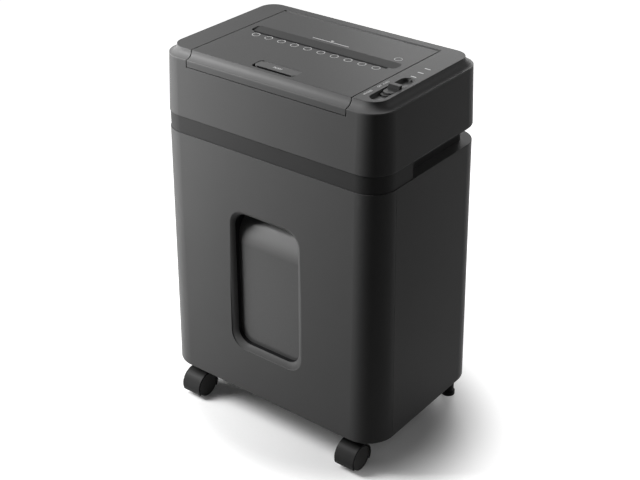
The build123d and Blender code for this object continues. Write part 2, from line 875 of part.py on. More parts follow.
def feed_roller_shaft():
    hex_end = plate_inside - bush_wall
    shaft = hexagon_x(feed_hex, both_sides(hex_end), feed_shaft)
    shaft += rod_x(feed_journal, both_sides(plate_outside + overrun), feed_shaft)
    return shaft + hexagon_x(feed_seat, (feed_x[0] - overrun, -plate_outside), feed_shaft)


def feed_rollers():
    """Rubber rollers on the feed shaft, standing a little proud of the tray."""
    tyres = []
    for x in roller_places():
        span = (x - roller_width / 2, x + roller_width / 2)
        tyres.append(rod_x(roller_radius, span, feed_shaft) - hexagon_x(feed_hex + seat_gap, span, feed_shaft))
    return group(tyres)


def feed_gear():
    wheel = gear(feed_teeth, feed_module, feed_x, feed_shaft, feed_phase)
    return wheel - hexagon_x(feed_seat + seat_gap, feed_x, feed_shaft)


def idler_gear():
    wheel = gear(feed_teeth, feed_module, feed_x, idler, idler_phase)
    return wheel - rod_x(stud_radius + running_gap, feed_x, idler)


# Cutters

def disc_points(centre):
    """A disc with hooked teeth: each tip falls off steeply on one side and slowly on the other."""
    relief = [0, 1.0, 0.7, 0.35]
    radii = [disc_radius - disc_relief * share for share in relief] * disc_hooks
    return ring_points(radii, centre)


def cutter_discs(centre, start):
    """Discs with their collars, spaced so that the other shaft's discs run between them."""
    discs = []
    for i in range(disc_count):
        x = start + i * disc_pitch
        rim = (x, x + disc_thickness)
        hub = (x + disc_thickness, x + disc_pitch - seat_gap)
        disc = polygon_x(disc_points(centre), rim)
        disc += polygon_x(ring_points([collar_radius] * collar_sides, centre), hub)
        discs.append(disc - hexagon_x(shaft_hex + seat_gap, (rim[0], hub[1]), centre))
    return group(discs)


front_start = -cutter_span / 2
rear_start = front_start + disc_pitch / 2


def front_cutter_discs():
    return cutter_discs(front_shaft, front_start)


def rear_cutter_discs():
    return cutter_discs(rear_shaft, rear_start)


def cutter_shaft(centre, left, right):
    """A hexagon between the plates, round journals in the bushes and slim hexagons for the gears."""
    hex_end = plate_inside - bush_wall - overrun
    shaft = hexagon_x(shaft_hex, both_sides(hex_end), centre)
    shaft += rod_x(shaft_journal, both_sides(plate_outside + overrun), centre)
    return shaft + hexagon_x(gear_seat_hex, (left, right), centre)


def front_cutter_shaft():
    return cutter_shaft(front_shaft, feed_x[0] - overrun, drive_x[1] + overrun)


def rear_cutter_shaft():
    return cutter_shaft(rear_shaft, -plate_outside - overrun, sync_x[1] + overrun)


def seated_gear(teeth, module, x, centre, phase):
    return gear(teeth, module, x, centre, phase) - hexagon_x(gear_seat_hex + seat_gap, x, centre)


def front_shaft_gear():
    return seated_gear(sync_teeth, sync_module, sync_x, front_shaft, sync_phase)


def rear_shaft_gear():
    return seated_gear(sync_teeth, sync_module, sync_x, rear_shaft, rear_sync_phase)


def drive_gear():
    return seated_gear(drive_teeth, drive_module, drive_x, front_shaft, drive_phase)


def feed_pinion():
    return seated_gear(feed_teeth, feed_module, feed_x, front_shaft, feed_pinion_phase)


def comb(centre, outward):
    """A bar with fingers between the discs of one shaft, which keep shreds off the collars."""
    bar_near = centre[0] + outward * (disc_radius + comb_gap)
    bar_far = bar_near + outward * comb_bar
    finger_end = centre[0] + outward * (collar_radius + comb_finger_gap)
    z = (centre[1] - comb_height / 2, centre[1] + comb_height / 2)
    strip = block(both_sides(plate_inside), sorted((bar_near, bar_far)), z)
    start = front_start if outward < 0 else rear_start
    for i in range(disc_count):
        gap = start + i * disc_pitch + disc_thickness
        x = (gap + comb_finger_gap, gap + disc_pitch - disc_thickness - comb_finger_gap)
        strip += block(x, sorted((finger_end, bar_far)), z)
    return strip


def front_comb():
    return comb(front_shaft, -1)


def rear_comb():
    return comb(rear_shaft, 1)


# Frame of the cutting block

def tie_places():
    back = rear_shaft[0] + disc_radius + comb_gap + comb_bar + 2 * tie_radius - overrun
    front = front_shaft[0] - disc_radius - comb_gap - comb_bar - 2 * tie_radius
    low = (back, cutter_z - disc_radius + overrun)
    high = (back, tray_low - 4 * tie_radius)
    return [low, high, (front, tray_low - 3 * tie_radius)]


def side_plate(x, front, journals, holes):
    z = (floor_top, tray_low)
    plate = block(x, (front, rear_shaft[0] + plate_margin), z)
    for centre, radius in journals + holes:
        plate -= rod_x(radius, (x[0] - overrun, x[1] + overrun), centre)
    return plate


def bush_holes():
    outer = shaft_journal + running_gap + bush_wall
    return [(front_shaft, outer + running_gap), (rear_shaft, outer + running_gap)]


def left_side_plate():
    x = (-plate_outside, -plate_inside)
    holes = [(feed_shaft, feed_journal + running_gap), (idler, stud_radius)]
    return side_plate(x, front_shaft[0] - plate_margin, bush_holes(), holes)


def right_side_plate():
    x = (plate_inside, plate_outside)
    holes = [(feed_shaft, feed_journal + running_gap), (motor, motor_shaft_radius + overrun)]
    studs = [(first, stud_radius), (second, stud_radius)]
    return side_plate(x, motor[0] - motor_radius - overrun, bush_holes(), holes + studs)


def shaft_bushes():
    """Flanged bushes for the two cutter shafts."""
    outer = shaft_journal + running_gap + bush_wall
    bushes = []
    for centre in (front_shaft, rear_shaft):
        ring = rod_x(outer, (plate_inside, plate_outside), centre)
        ring += rod_x(outer + bush_flange, (plate_inside - bush_flange, plate_inside), centre)
        ring -= rod_x(shaft_journal + running_gap, (0, case_width), centre)
        bushes += [ring, mirrored(ring)]
    return group(bushes)


def tie_rods():
    return group([rod_x(tie_radius, both_sides(plate_inside), place) for place in tie_places()])


def gear_studs():
    """Fixed pins for the loose gears, each with a head that keeps its gear on."""
    studs = []
    for centre, end in ((first, first_x[1]), (second, second_x[1])):
        stud = rod_x(stud_radius, (plate_inside, end + 2 * seat_gap), centre)
        studs.append(stud + rod_x(stud_head, (end + 2 * seat_gap, end + 2 * seat_gap + overrun), centre))
    stud = rod_x(stud_radius, (feed_x[0] - 2 * seat_gap, -plate_inside), idler)
    studs.append(stud + rod_x(stud_head, (feed_x[0] - 2 * seat_gap - overrun, feed_x[0] - 2 * seat_gap), idler))
    return group(studs)


# Motor and reduction

def motor_body():
    """A ribbed can with an end bell and a boss against the right side plate."""
    end = plate_inside - motor_boss_length
    can = rod_x(motor_radius, (end - motor_length, end), motor)
    can += rod_x(motor_boss, (end - overrun, plate_inside), motor)
    can += rod_x(motor_boss, (end - motor_length - motor_boss_length, end - motor_length + overrun), motor)
    for place in (0.2, 0.8):
        x = end - motor_length * place
        can -= rod_x(motor_radius + overrun, (x - overrun, x + overrun), motor) - rod_x(
            motor_radius - overrun, (x - overrun, x + overrun), motor)
    return can - rod_x(motor_shaft_radius + running_gap, (plate_inside - motor_shaft_seat, case_width), motor)


def motor_shaft():
    return rod_x(motor_shaft_radius, (plate_inside - motor_shaft_seat + seat_gap, first_x[1] + overrun), motor)


def motor_pinion():
    wheel = gear(motor_teeth, first_module, first_x, motor, motor_phase)
    return wheel - rod_x(motor_shaft_radius, first_x, motor)


def first_gear():
    """The first reduction: a wheel for the motor's pinion with a pinion for the second one."""
    wheel = gear(first_teeth, first_module, first_x, first, first_phase)
    pinion_x = (second_x[0], first_x[0])
    wheel += gear(first_pinion_teeth, second_module, pinion_x, first, first_pinion_phase)
    return wheel - rod_x(stud_radius + running_gap, (0, case_width), first)


def second_gear():
    wheel = gear(second_teeth, second_module, second_x, second, second_phase)
    pinion_x = (drive_x[0], second_x[0])
    wheel += gear(second_pinion_teeth, drive_module, pinion_x, second, second_pinion_phase)
    return wheel - rod_x(stud_radius + running_gap, (0, case_width), second)


# Bin

def window_outline(inset, y):
    outline = RectangleRounded(window_width - 2 * inset, window_height - 2 * inset, window_corner - inset / 2)
    return Pos(0, y, window_z) * Rot(90, 0, 0) * outline


def front_face(z):
    """Y of the flared front face at a height."""
    return -half_depth - front_flare * (belt_low - z) / (belt_low - ground_clearance)


def bin_boss_places():
    heights = (ground_clearance + bin_screw_inset, tub_high - bin_screw_inset / 2)
    return [(x, z) for x in both_sides(bin_screw_x) for z in heights]


def bevel_rings():
    """(Inset, depth) of the rings of the window's rounded bevel, which meets the face at a slight edge."""
    first = math.radians(bevel_first_angle)
    last = math.radians(bevel_last_angle)
    rings = []
    for i in range(bevel_steps + 1):
        turn = first + (last - first) * i / bevel_steps
        inset = (math.sin(turn) - math.sin(first)) / (math.sin(last) - math.sin(first))
        depth = (math.cos(first) - math.cos(turn)) / (math.cos(first) - math.cos(last))
        rings.append((window_bevel * inset, window_bevel_depth * depth))
    return rings


def bin_front():
    """The bin's face: wraps the front corners, with a bevelled window frame and bosses for the tub."""
    ahead = block(both_sides(case_width), (-case_depth, seam_y - seam_gap), (0, belt_low - seam_gap))
    face = (cabinet_form(0) - cabinet_form(wall)) & ahead
    outer_y = -half_depth - front_flare
    frame = extrude(window_outline(-frame_margin, outer_y), -(pane_front - outer_y))
    face += frame & cabinet_form(overrun)
    for x, z in bin_boss_places():
        face += rod_y(bin_boss, (front_face(z) + overrun, tub_front), x, z)
        face -= rod_y(bin_screw_radius + running_gap, (tub_front - 4 * wall, tub_front + overrun), x, z)
    face_y = front_face(window_z)
    bevel = loft([window_outline(inset, face_y + depth) for inset, depth in bevel_rings()], ruled=True)
    mouth = extrude(window_outline(0, outer_y - overrun), -(face_y - outer_y + overrun))
    tunnel = extrude(window_outline(window_bevel, face_y), -(pane_front - face_y + overrun))
    seat_y = face_y + window_bevel_depth
    seat = extrude(window_outline(liner_outset(), seat_y), -(pane_front - seat_y + overrun))
    return face - bevel - mouth - tunnel - seat


def liner_outset():
    return window_bevel - liner_thickness


def window_liner():
    """A black sleeve between the bevel and the pane."""
    seat_y = front_face(window_z) + window_bevel_depth
    depth = pane_front - seat_y
    sleeve = extrude(window_outline(liner_outset(), seat_y), -depth)
    return sleeve - extrude(window_outline(window_bevel, seat_y - overrun), -(depth + 2 * overrun))


def bin_tub():
    """The open-topped tub behind the face, with a window that the pane closes."""
    depth = tub_back - tub_front
    middle = (tub_front + tub_back) / 2
    outline = RectangleRounded(2 * tub_half_width, depth, tub_corner)
    inside = RectangleRounded(2 * (tub_half_width - tub_wall), depth - 2 * tub_wall, tub_corner - tub_wall)
    rim = RectangleRounded(2 * (tub_half_width + tub_rim), depth + 2 * tub_rim, tub_corner + tub_rim)
    tub = extrude(Pos(0, middle, tub_low) * outline, tub_high - tub_low)
    tub += extrude(Pos(0, middle, tub_high - tub_rim_height) * rim, tub_rim_height)
    tub -= extrude(Pos(0, middle, tub_low + tub_wall) * inside, tub_high - tub_low)
    hole_low = pane_low() + pane_margin - fit_gap
    hole_x = both_sides(pocket_width / 2 + pocket_wall + fit_gap)
    hole_z = (hole_low, pocket_top + pocket_wall + fit_gap)
    tub -= block(hole_x, (tub_front - overrun, tub_front + 2 * tub_wall), hole_z)
    for x, z in bin_boss_places():
        tub -= rod_y(bin_screw_radius + running_gap, (tub_front - overrun, tub_front + 2 * tub_wall), x, z)
    return tub


def pane_low():
    return window_z - window_height / 2 + window_bevel - pane_margin


def window_pane():
    """Smoked pane: a flat sheet that rolls over into a shelf, which is the floor of the finger pocket."""
    half = both_sides(pocket_width / 2)
    axis = (pane_front + scoop_radius, scoop_z)
    pane = block(both_sides(pocket_width / 2 + pane_margin), (pane_front, tub_front), (pane_low(), scoop_z))
    quarter = block(half, (pane_front, axis[0]), (scoop_z, shelf_top))
    shoulder = rod_x(scoop_radius, half, axis) - rod_x(scoop_radius - pane_thickness, half, axis)
    pane += shoulder & quarter
    shelf_y = (axis[0], pocket_back + pane_thickness)
    return pane + block(half, shelf_y, (shelf_top - pane_thickness, shelf_top))


def pocket_shell():
    """The black sides, back and roof of the finger pocket."""
    half = pocket_width / 2
    back = (pocket_back + pane_thickness, pocket_back + pane_thickness + pocket_wall)
    roof = (pocket_top, pocket_top + pocket_wall)
    wide = both_sides(half + pocket_wall)
    shell = block(wide, back, (scoop_z, roof[1]))
    shell += block(wide, (pane_front, back[1]), roof)
    right = block((half, half + pocket_wall), (pane_front, back[1]), (scoop_z, roof[1]))
    return shell + right + mirrored(right)


def bin_screws():
    screws = []
    for x, z in bin_boss_places():
        inside = tub_front + tub_wall
        shank = rod_y(bin_screw_radius, (tub_front - 3 * wall, inside), x, z)
        screws.append(shank + rod_y(bin_screw_head, (inside, inside + bin_screw_radius), x, z))
    return group(screws)


# Casters

def caster_hood(x):
    """A hood over both wheels, with the web that holds the axle and a boss for the stem."""
    centre = (wheel_y, wheel_radius)
    span = (x - hood_width / 2, x + hood_width / 2)
    hood = rod_x(hood_radius, span, centre) - rod_x(hood_radius - hood_wall, span, centre)
    web = (x - hood_web / 2, x + hood_web / 2)
    hood += rod_x(hood_radius - overrun, web, centre)
    hood += rod_z(stem_boss, (wheel_radius + stem_boss, neck_top), x, stem_y)
    hood -= rod_x(hood_radius - hood_wall, (web[1], span[1] + overrun), centre)
    hood -= rod_x(hood_radius - hood_wall, (span[0] - overrun, web[0]), centre)
    hood -= rod_x(axle_radius, span, centre)
    hood -= block(span, (wheel_y - hood_radius, stem_y + hood_radius), (-hood_radius, hood_low))
    return hood - rod_z(stem_radius, (neck_top - stem_seat, neck_top + overrun), x, stem_y)


def caster_stem(x):
    low = neck_top - stem_seat
    return rod_z(stem_radius, (low, ground_clearance + stem_seat - fit_gap), x, stem_y)


def caster_axle(x):
    reach = hood_web / 2 + wheel_width - wheel_cover
    return rod_x(axle_radius, (x - reach, x + reach), (wheel_y, wheel_radius))


def caster_wheel(x, side):
    """One of the twin wheels, with a closed outer face in a low rim and a blind bore for the axle."""
    near = x + side * (hood_web / 2 + fit_gap)
    far = near + side * wheel_width
    centre = (wheel_y, wheel_radius)
    span = tuple(sorted((near, far)))
    wheel = rod_x(wheel_radius, span, centre)
    dish = tuple(sorted((far - side * wheel_dish, far + side * overrun)))
    wheel -= rod_x(wheel_radius - 2 * wheel_dish, dish, centre)
    bore = tuple(sorted((near - side * overrun, far - side * wheel_cover)))
    return wheel - rod_x(axle_radius + running_gap, bore, centre)


# Write one file for each piece

pieces = {
    "cabinet_shell": cabinet_shell(),
    "base_plate": base_plate(),
    "bin_runners": bin_runners(),
    "rear_feet": rear_feet(),
    "head_shell": head_shell(),
    "head_base": head_base(),
    "cord_inlet": cord_inlet(),
    "mode_slider": mode_slider(),
    "slide_switch": slide_switch(),
    "control_board": control_board(),
    "indicator_lenses": indicator_lenses(),
    "lid": lid(),
    "slot_insert": slot_insert(),
    "push_tab": push_tab(),
    "tab_pin": tab_pin(),
    "lid_hinge_pins": lid_hinge_pins(),
    "feed_tray": feed_tray(),
    "throat_guides": throat_guides(),
    "sensor_lever": sensor_lever(),
    "lever_pin": lever_pin(),
    "feed_roller_shaft": feed_roller_shaft(),
    "feed_rollers": feed_rollers(),
    "feed_gear": feed_gear(),
    "idler_gear": idler_gear(),
    "feed_pinion": feed_pinion(),
    "front_cutter_shaft": front_cutter_shaft(),
    "front_cutter_discs": front_cutter_discs(),
    "front_shaft_gear": front_shaft_gear(),
    "drive_gear": drive_gear(),
    "rear_cutter_shaft": rear_cutter_shaft(),
    "rear_cutter_discs": rear_cutter_discs(),
    "rear_shaft_gear": rear_shaft_gear(),
    "front_comb": front_comb(),
    "rear_comb": rear_comb(),
    "left_side_plate": left_side_plate(),
    "right_side_plate": right_side_plate(),
    "shaft_bushes": shaft_bushes(),
    "tie_rods": tie_rods(),
    "gear_studs": gear_studs(),
    "motor_body": motor_body(),
    "motor_shaft": motor_shaft(),
    "motor_pinion": motor_pinion(),
    "first_gear": first_gear(),
    "second_gear": second_gear(),
    "bin_front": bin_front(),
    "bin_tub": bin_tub(),
    "window_liner": window_liner(),
    "window_pane": window_pane(),
    "pocket_shell": pocket_shell(),
    "bin_screws": bin_screws(),
}
for name, x in (("left", -caster_x), ("right", caster_x)):
    pieces[name + "_caster_hood"] = caster_hood(x)
    pieces[name + "_caster_stem"] = caster_stem(x)
    pieces[name + "_caster_axle"] = caster_axle(x)
    pieces[name + "_caster_inner_wheel"] = caster_wheel(x, -math.copysign(1, x))
    pieces[name + "_caster_outer_wheel"] = caster_wheel(x, math.copysign(1, x))

os.makedirs("parts", exist_ok=True)
for name, piece in pieces.items():
    export_step(origin * piece, f"parts/{name}.step")
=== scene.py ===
"""Finishes, printed marks and a plain studio for an auto-feed paper shredder."""

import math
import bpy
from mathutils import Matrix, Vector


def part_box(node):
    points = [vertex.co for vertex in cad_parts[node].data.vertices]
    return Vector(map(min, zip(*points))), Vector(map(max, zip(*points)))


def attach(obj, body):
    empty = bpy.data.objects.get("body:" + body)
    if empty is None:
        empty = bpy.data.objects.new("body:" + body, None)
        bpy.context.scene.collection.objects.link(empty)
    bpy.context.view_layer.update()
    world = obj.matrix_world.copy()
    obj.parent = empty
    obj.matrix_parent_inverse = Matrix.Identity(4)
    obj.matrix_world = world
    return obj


bl_info = {
    "name": "Auto-Feed Paper Shredder",
    "version": (1, 0, 0),
    "blender": (4, 5, 0),
    "location": "3D View > Sidebar > Shredder",
    "description": "Finishes, printed marks and a studio for an auto-feed paper shredder",
    "category": "Object",
}

import bmesh
import bpy
from bpy.props import FloatProperty, FloatVectorProperty, IntProperty, PointerProperty, StringProperty
from mathutils import Matrix, Vector

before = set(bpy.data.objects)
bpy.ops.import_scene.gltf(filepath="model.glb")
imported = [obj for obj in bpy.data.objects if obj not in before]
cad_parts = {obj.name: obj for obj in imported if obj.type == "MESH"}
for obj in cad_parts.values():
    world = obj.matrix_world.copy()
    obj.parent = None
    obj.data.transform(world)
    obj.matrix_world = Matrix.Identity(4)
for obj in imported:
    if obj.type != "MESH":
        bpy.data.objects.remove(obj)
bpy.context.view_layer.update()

WHITE = (1.0, 1.0, 1.0, 1.0)
SIDES = ("left", "right")

# Colour sockets of the Mix node, whose names are shared with its other kinds
MIX_A, MIX_B, MIX_RESULT = 6, 7, 2

# Moulded plastic: width of the flow marks in millimetres, and how far they change the tone
FLOW_MM = 90.0
FLOW_TONE = 0.05
# How far the moulded grain changes the roughness
GRAIN_GLOSS = 0.05
# Smooth cove: how much smoother than the grained walls, how much paler as a painted highlight, and how much darker
# the flat top is painted as painted shade
COVE_POLISH = 0.1
COVE_PAINTED_HIGHLIGHT = 1.65
TOP_PAINTED_SHADE = 0.1
# Heights in metres over which the cove's foot blends in, above and below it, and its top edge, down from the top
FOOT_BLEND = 0.001
TOP_BLEND = (0.0008, 0.0002)
# Share of a face's normal along the axle at which the hub's colour starts and is full
HUB_FACING = (0.9, 0.98)
# Tone of the smoked pane against its colour as written, on the flat and, as a painted highlight, at the top of its
# scoop
PANE_TONE_AND_PAINTED_HIGHLIGHT = (0.9, 2.9)

RING_SEGMENTS = 40

# Words beside the mode slider, and how far behind the slider's middle each stands in metres
CONTROL_WORDS = (("REVERSE", -0.030), ("OFF", -0.003), ("AUTO", 0.012))

# Softboxes: name, place, target and size in metres, and the property that holds the power
SOFTBOXES = (
    ("left_softbox", (-0.55, -0.5, 1.08), (0.0, -0.13, 0.55), (0.4, 0.4), "key_power"),
    ("low_softbox", (-0.52, -0.34, 0.36), (0.0, -0.13, 0.3), (0.25, 0.6), "low_power"),
    ("front_softbox", (-0.92, -0.78, 1.05), (0.0, -0.13, 0.5), (0.4, 0.4), "front_power"),
    ("back_softbox", (-0.5, 1.3, 1.1), (0.0, 0.1, 0.4), (0.6, 0.6), "back_power"),
    ("right_softbox", (1.0, 0.8, 1.15), (0.0, 0.0, 0.45), (0.6, 0.7), "right_power"),
)
SENSOR_MM = 36.0
CLIP_END = 50.0

FLOOR_HALF = 9.0
# Painted soft shadow round the foot, added to the lamps' own: half its width and depth in metres, how far it is
# pulled to the front as a share of its half depth, and the shares of its half size between which it fades
SHADOW_HALF = (0.261, 0.208)
SHADOW_FORWARD = 0.07
SHADOW_FADE = (0.75, 1.38)
# Light that the paper adds to its own tone, in the shadow and away from it
PAPER_GLOW = (0.03, 0.95)
# Grey of the floor as the shredder's walls see it, which keeps them from being lit from below
FLOOR_BOUNCE = "#5a5a5a"
# Strength of the surroundings as a light, against 1.0 as a background
WORLD_LIGHT = 0.03


class ShredderFinishes(bpy.types.PropertyGroup):
    """Colours and grain of the moulded and metal pieces."""

    shell: StringProperty(name="Shell", description="Charcoal of the head and cabinet", default="#575757")
    lid: StringProperty(name="Lid", description="Charcoal of the lid and its tab", default="#575757")
    bin: StringProperty(name="Bin face", description="Charcoal of the pull-out bin", default="#565656")
    belt: StringProperty(name="Belt", description="Darker grey band under the head", default="#3c3c3c")
    insert: StringProperty(name="Insert", description="Dark grey of the paper slot insert", default="#474747")
    inside: StringProperty(
        name="Inside", description="Black of the tub, tray and chassis mouldings", default="#1b1b1c")
    caster: StringProperty(name="Caster", description="Black of the caster hoods and feet", default="#383838")
    wheel: StringProperty(name="Wheel", description="Black of the caster wheels", default="#3a3a3a")
    hub: StringProperty(name="Hub", description="Grey of the flat sides of the wheels", default="#8a8a8a")
    pane: StringProperty(name="Pane", description="Smoke tint of the bin window", default="#565656")
    slider: StringProperty(name="Slider", description="Dark grey of the mode slider", default="#3c3c3c")
    ink: StringProperty(name="Ink", description="Off-white of the printed marks", default="#e4e4e4")
    grain: FloatProperty(
        name="Grain", description="Width of the moulded grain", default=0.0016, unit="LENGTH", precision=5)
    scoop_low: FloatProperty(
        name="Scoop", description="Height at which the pane starts to curve back", default=0.3145, unit="LENGTH")
    scoop_high: FloatProperty(
        name="Scoop top", description="Height at which the pane leaves the window", default=0.352, unit="LENGTH")
    cove_height: FloatProperty(
        name="Cove", description="Height of the smooth cove round the top", default=0.0135, unit="LENGTH",
        precision=4)


class ShredderMarks(bpy.types.PropertyGroup):
    """Places and sizes of the printed marks and the rubber strips."""

    ring_count: IntProperty(
        name="Rings", description="Small rings printed in front of the paper slot", default=10)
    ring_radius: FloatProperty(
        name="Ring radius", description="Outer radius of a ring", default=0.0062, unit="LENGTH")
    ring_first: FloatProperty(
        name="First ring", description="X of the first ring", default=-0.109, unit="LENGTH")
    ring_last: FloatProperty(name="Last ring", description="X of the last ring", default=0.107, unit="LENGTH")
    ring_ahead: FloatProperty(
        name="Ring row", description="Distance of the ring row in front of the slot insert", default=0.0082,
        unit="LENGTH")
    lone_x: FloatProperty(
        name="Lone ring", description="X of the single ring behind the slot", default=0.113, unit="LENGTH")
    lone_behind: FloatProperty(
        name="Lone ring back", description="Distance of the single ring behind the slot insert", default=0.01,
        unit="LENGTH")
    stroke: FloatProperty(name="Stroke", description="Width of the printed lines", default=0.001, unit="LENGTH")
    sheet_x: FloatProperty(
        name="Sheet mark", description="X of the sheet mark behind the slot", default=-0.003, unit="LENGTH")
    sheet_length: FloatProperty(
        name="Sheet length", description="Length of the sheet mark's bar", default=0.065, unit="LENGTH")
    sheet_width: FloatProperty(
        name="Sheet width", description="Width of the sheet mark's bar", default=0.0016, unit="LENGTH")
    sheet_behind: FloatProperty(
        name="Sheet back", description="Distance of the bar behind the slot insert", default=0.0057, unit="LENGTH",
        precision=4)
    arrow_radius: FloatProperty(
        name="Arrow", description="Radius of the arrowhead over the bar", default=0.0032, unit="LENGTH")
    arrow_behind: FloatProperty(
        name="Arrow back", description="Distance of the arrowhead behind the slot insert", default=0.0102,
        unit="LENGTH", precision=4)
    # The black edge in front of the slot is painted shade: a dark strip where the slot's front gap lies in shadow
    slot_edge: FloatProperty(
        name="Slot edge", description="Width of the black edge in front of the paper slot", default=0.0034,
        unit="LENGTH")
    strip: FloatProperty(
        name="Strip", description="Thickness of the black edge", default=0.0004, unit="LENGTH", precision=5)
    flange: FloatProperty(
        name="Flange", description="How far the slot insert reaches under the lid", default=0.002, unit="LENGTH")
    tab_corner: FloatProperty(
        name="Tab corner", description="Rounding of the push tab's corners", default=0.006, unit="LENGTH")
    tab_depth: FloatProperty(
        name="Tab depth", description="Depth of the push tab from front to back", default=0.019, unit="LENGTH")
    # The black strip on the tab's front is painted shade where the tab's pocket lies in shadow; its ridges are
    # geometry
    tab_face: FloatProperty(
        name="Tab grip", description="Height of the rubber on the tab's front", default=0.0034, unit="LENGTH")
    tab_ridge: FloatProperty(
        name="Ridge", description="Height of the rubber's ridges", default=0.0003, unit="LENGTH", precision=4)
    tab_ridges: IntProperty(name="Ridges", description="Number of ridges along the tab", default=24)
    tab_word: FloatProperty(
        name="Tab word", description="Height of the word on the tab", default=0.0062, unit="LENGTH")
    tab_word_ahead: FloatProperty(
        name="Tab word place", description="Distance of the word in front of the tab's back", default=0.0105,
        unit="LENGTH", precision=4)
    control_word: FloatProperty(
        name="Control words", description="Height of the words beside the slider", default=0.005, unit="LENGTH")
    control_gap: FloatProperty(
        name="Control gap", description="Distance of the words from the slider", default=0.0085, unit="LENGTH")
    bold: FloatProperty(
        name="Bold", description="How far letters are thickened, as a share of their height", default=0.02)
    film: FloatProperty(
        name="Film", description="Height of the ink over the surface", default=0.00006, unit="LENGTH", precision=6)


class ShredderStage(bpy.types.PropertyGroup):
    """Camera and lamps."""

    camera_place: FloatVectorProperty(
        name="Camera", description="Where the camera stands", default=(1.0524, -1.3632, 1.2556),
        subtype="TRANSLATION", unit="LENGTH")
    camera_turn: FloatProperty(
        name="Turn", description="How far the camera stands round to the right", default=math.radians(37.62),
        subtype="ANGLE")
    camera_dip: FloatProperty(
        name="Dip", description="How far the camera looks down", default=math.radians(28.94), subtype="ANGLE")
    lens: FloatProperty(name="Lens", description="Focal length in millimetres", default=71.8)
    shift: FloatProperty(name="Shift", description="Vertical shift of the frame", default=-0.0144)
    key_power: FloatProperty(
        name="Key", description="Power of the high left softbox", default=7.0, subtype="POWER")
    low_power: FloatProperty(
        name="Low", description="Power of the low left softbox", default=2.4, subtype="POWER")
    front_power: FloatProperty(
        name="Front", description="Power of the softbox in front", default=9.0, subtype="POWER")
    back_power: FloatProperty(
        name="Back", description="Power of the softbox behind on the left", default=5.0, subtype="POWER")
    right_power: FloatProperty(
        name="Right", description="Power of the softbox behind on the right", default=1.7, subtype="POWER")


def hex_to_linear(text):
    """Turn an sRGB hex colour into linear RGBA."""
    parts = [int(text[i:i + 2], 16) / 255 for i in (1, 3, 5)]
    linear = [part / 12.92 if part <= 0.04045 else ((part + 0.055) / 1.055) ** 2.4 for part in parts]
    return (*linear, 1.0)


def shade(colour, factor):
    """A colour made darker or paler."""
    return (colour[0] * factor, colour[1] * factor, colour[2] * factor, 1.0)


def per_metre(millimetres):
    """Pattern scale for a feature of a real size."""
    return 1000.0 / millimetres


def add_node(tree, kind, settings=None, values=None, links=None):
    """Add a shader node with its properties, its socket values and the links into it."""
    node = tree.nodes.new(kind)
    for name, value in (settings or {}).items():
        setattr(node, name, value)
    for name, value in (values or {}).items():
        node.inputs[name].default_value = value
    for name, socket in (links or {}).items():
        tree.links.new(socket, node.inputs[name])
    return node


def new_material(name):
    """An empty node material with the surface's object coordinates."""
    material = bpy.data.materials.new(name)
    material.use_nodes = True
    tree = material.node_tree
    tree.nodes.clear()
    place = add_node(tree, "ShaderNodeTexCoord").outputs["Object"]
    return material, tree, place


def close_material(tree, shader):
    """Lead a shader to the material's output."""
    add_node(tree, "ShaderNodeOutputMaterial", links={"Surface": shader.outputs[0]})


def noise(tree, place, width_mm, detail, roughness=0.5):
    """Noise with lumps of about the given width, from nought to one."""
    node = add_node(
        tree, "ShaderNodeTexNoise", links={"Vector": place},
        values={"Scale": per_metre(width_mm), "Detail": detail, "Roughness": roughness})
    return node.outputs["Fac"]


def between(tree, factor, first, second):
    """A colour that runs from one to another."""
    mix = add_node(tree, "ShaderNodeMix", settings={"data_type": "RGBA"}, links={"Factor": factor})
    mix.inputs[MIX_A].default_value = first
    mix.inputs[MIX_B].default_value = second
    return mix.outputs[MIX_RESULT]


def ranged(tree, value, low, high, start=0.0, end=1.0):
    """A value that runs from low to high while another runs from start to end."""
    node = add_node(
        tree, "ShaderNodeMapRange", links={"Value": value},
        values={"From Min": start, "From Max": end, "To Min": low, "To Max": high})
    return node.outputs["Result"]


def rising(tree, value, start, end, low=0.0, high=1.0):
    """A value that climbs in a smooth step from low to high while another runs from start to end."""
    node = add_node(
        tree, "ShaderNodeMapRange", settings={"interpolation_type": "SMOOTHSTEP"}, links={"Value": value},
        values={"From Min": start, "From Max": end, "To Min": low, "To Max": high})
    return node.outputs["Result"]


def combined(tree, operation, first, second):
    """Two values put together by a sum of the given kind."""
    node = add_node(tree, "ShaderNodeMath", settings={"operation": operation}, links={0: first, 1: second})
    return node.outputs["Value"]


def scaled(tree, colour, factor):
    """A colour times a value."""
    node = add_node(
        tree, "ShaderNodeVectorMath", settings={"operation": "SCALE"}, links={0: colour, "Scale": factor})
    return node.outputs["Vector"]


def part_of(tree, vector, axis):
    """One coordinate of a vector."""
    return add_node(tree, "ShaderNodeSeparateXYZ", links={"Vector": vector}).outputs[axis]


def cove_polish_and_painted_light(tree, place, satin, tone, rough):
    """Tone and roughness with a smooth band between two heights that is painted paler as a painted highlight, and
    a top above it painted darker as painted shade.
    """
    height = part_of(tree, place, "Z")
    cove = rising(tree, height, satin[0] - FOOT_BLEND, satin[0] + FOOT_BLEND)
    flat = rising(tree, height, satin[1] - TOP_BLEND[0], satin[1] - TOP_BLEND[1])
    band = combined(tree, "SUBTRACT", cove, flat)
    polish = ranged(tree, band, 0.0, COVE_POLISH)
    # The band's paler tone is a painted highlight, and the flat top's darker tone is painted shade
    level = combined(
        tree, "SUBTRACT", ranged(tree, band, 1.0, COVE_PAINTED_HIGHLIGHT), ranged(tree, flat, 0.0, TOP_PAINTED_SHADE))
    return scaled(tree, tone, level), combined(tree, "SUBTRACT", rough, polish)


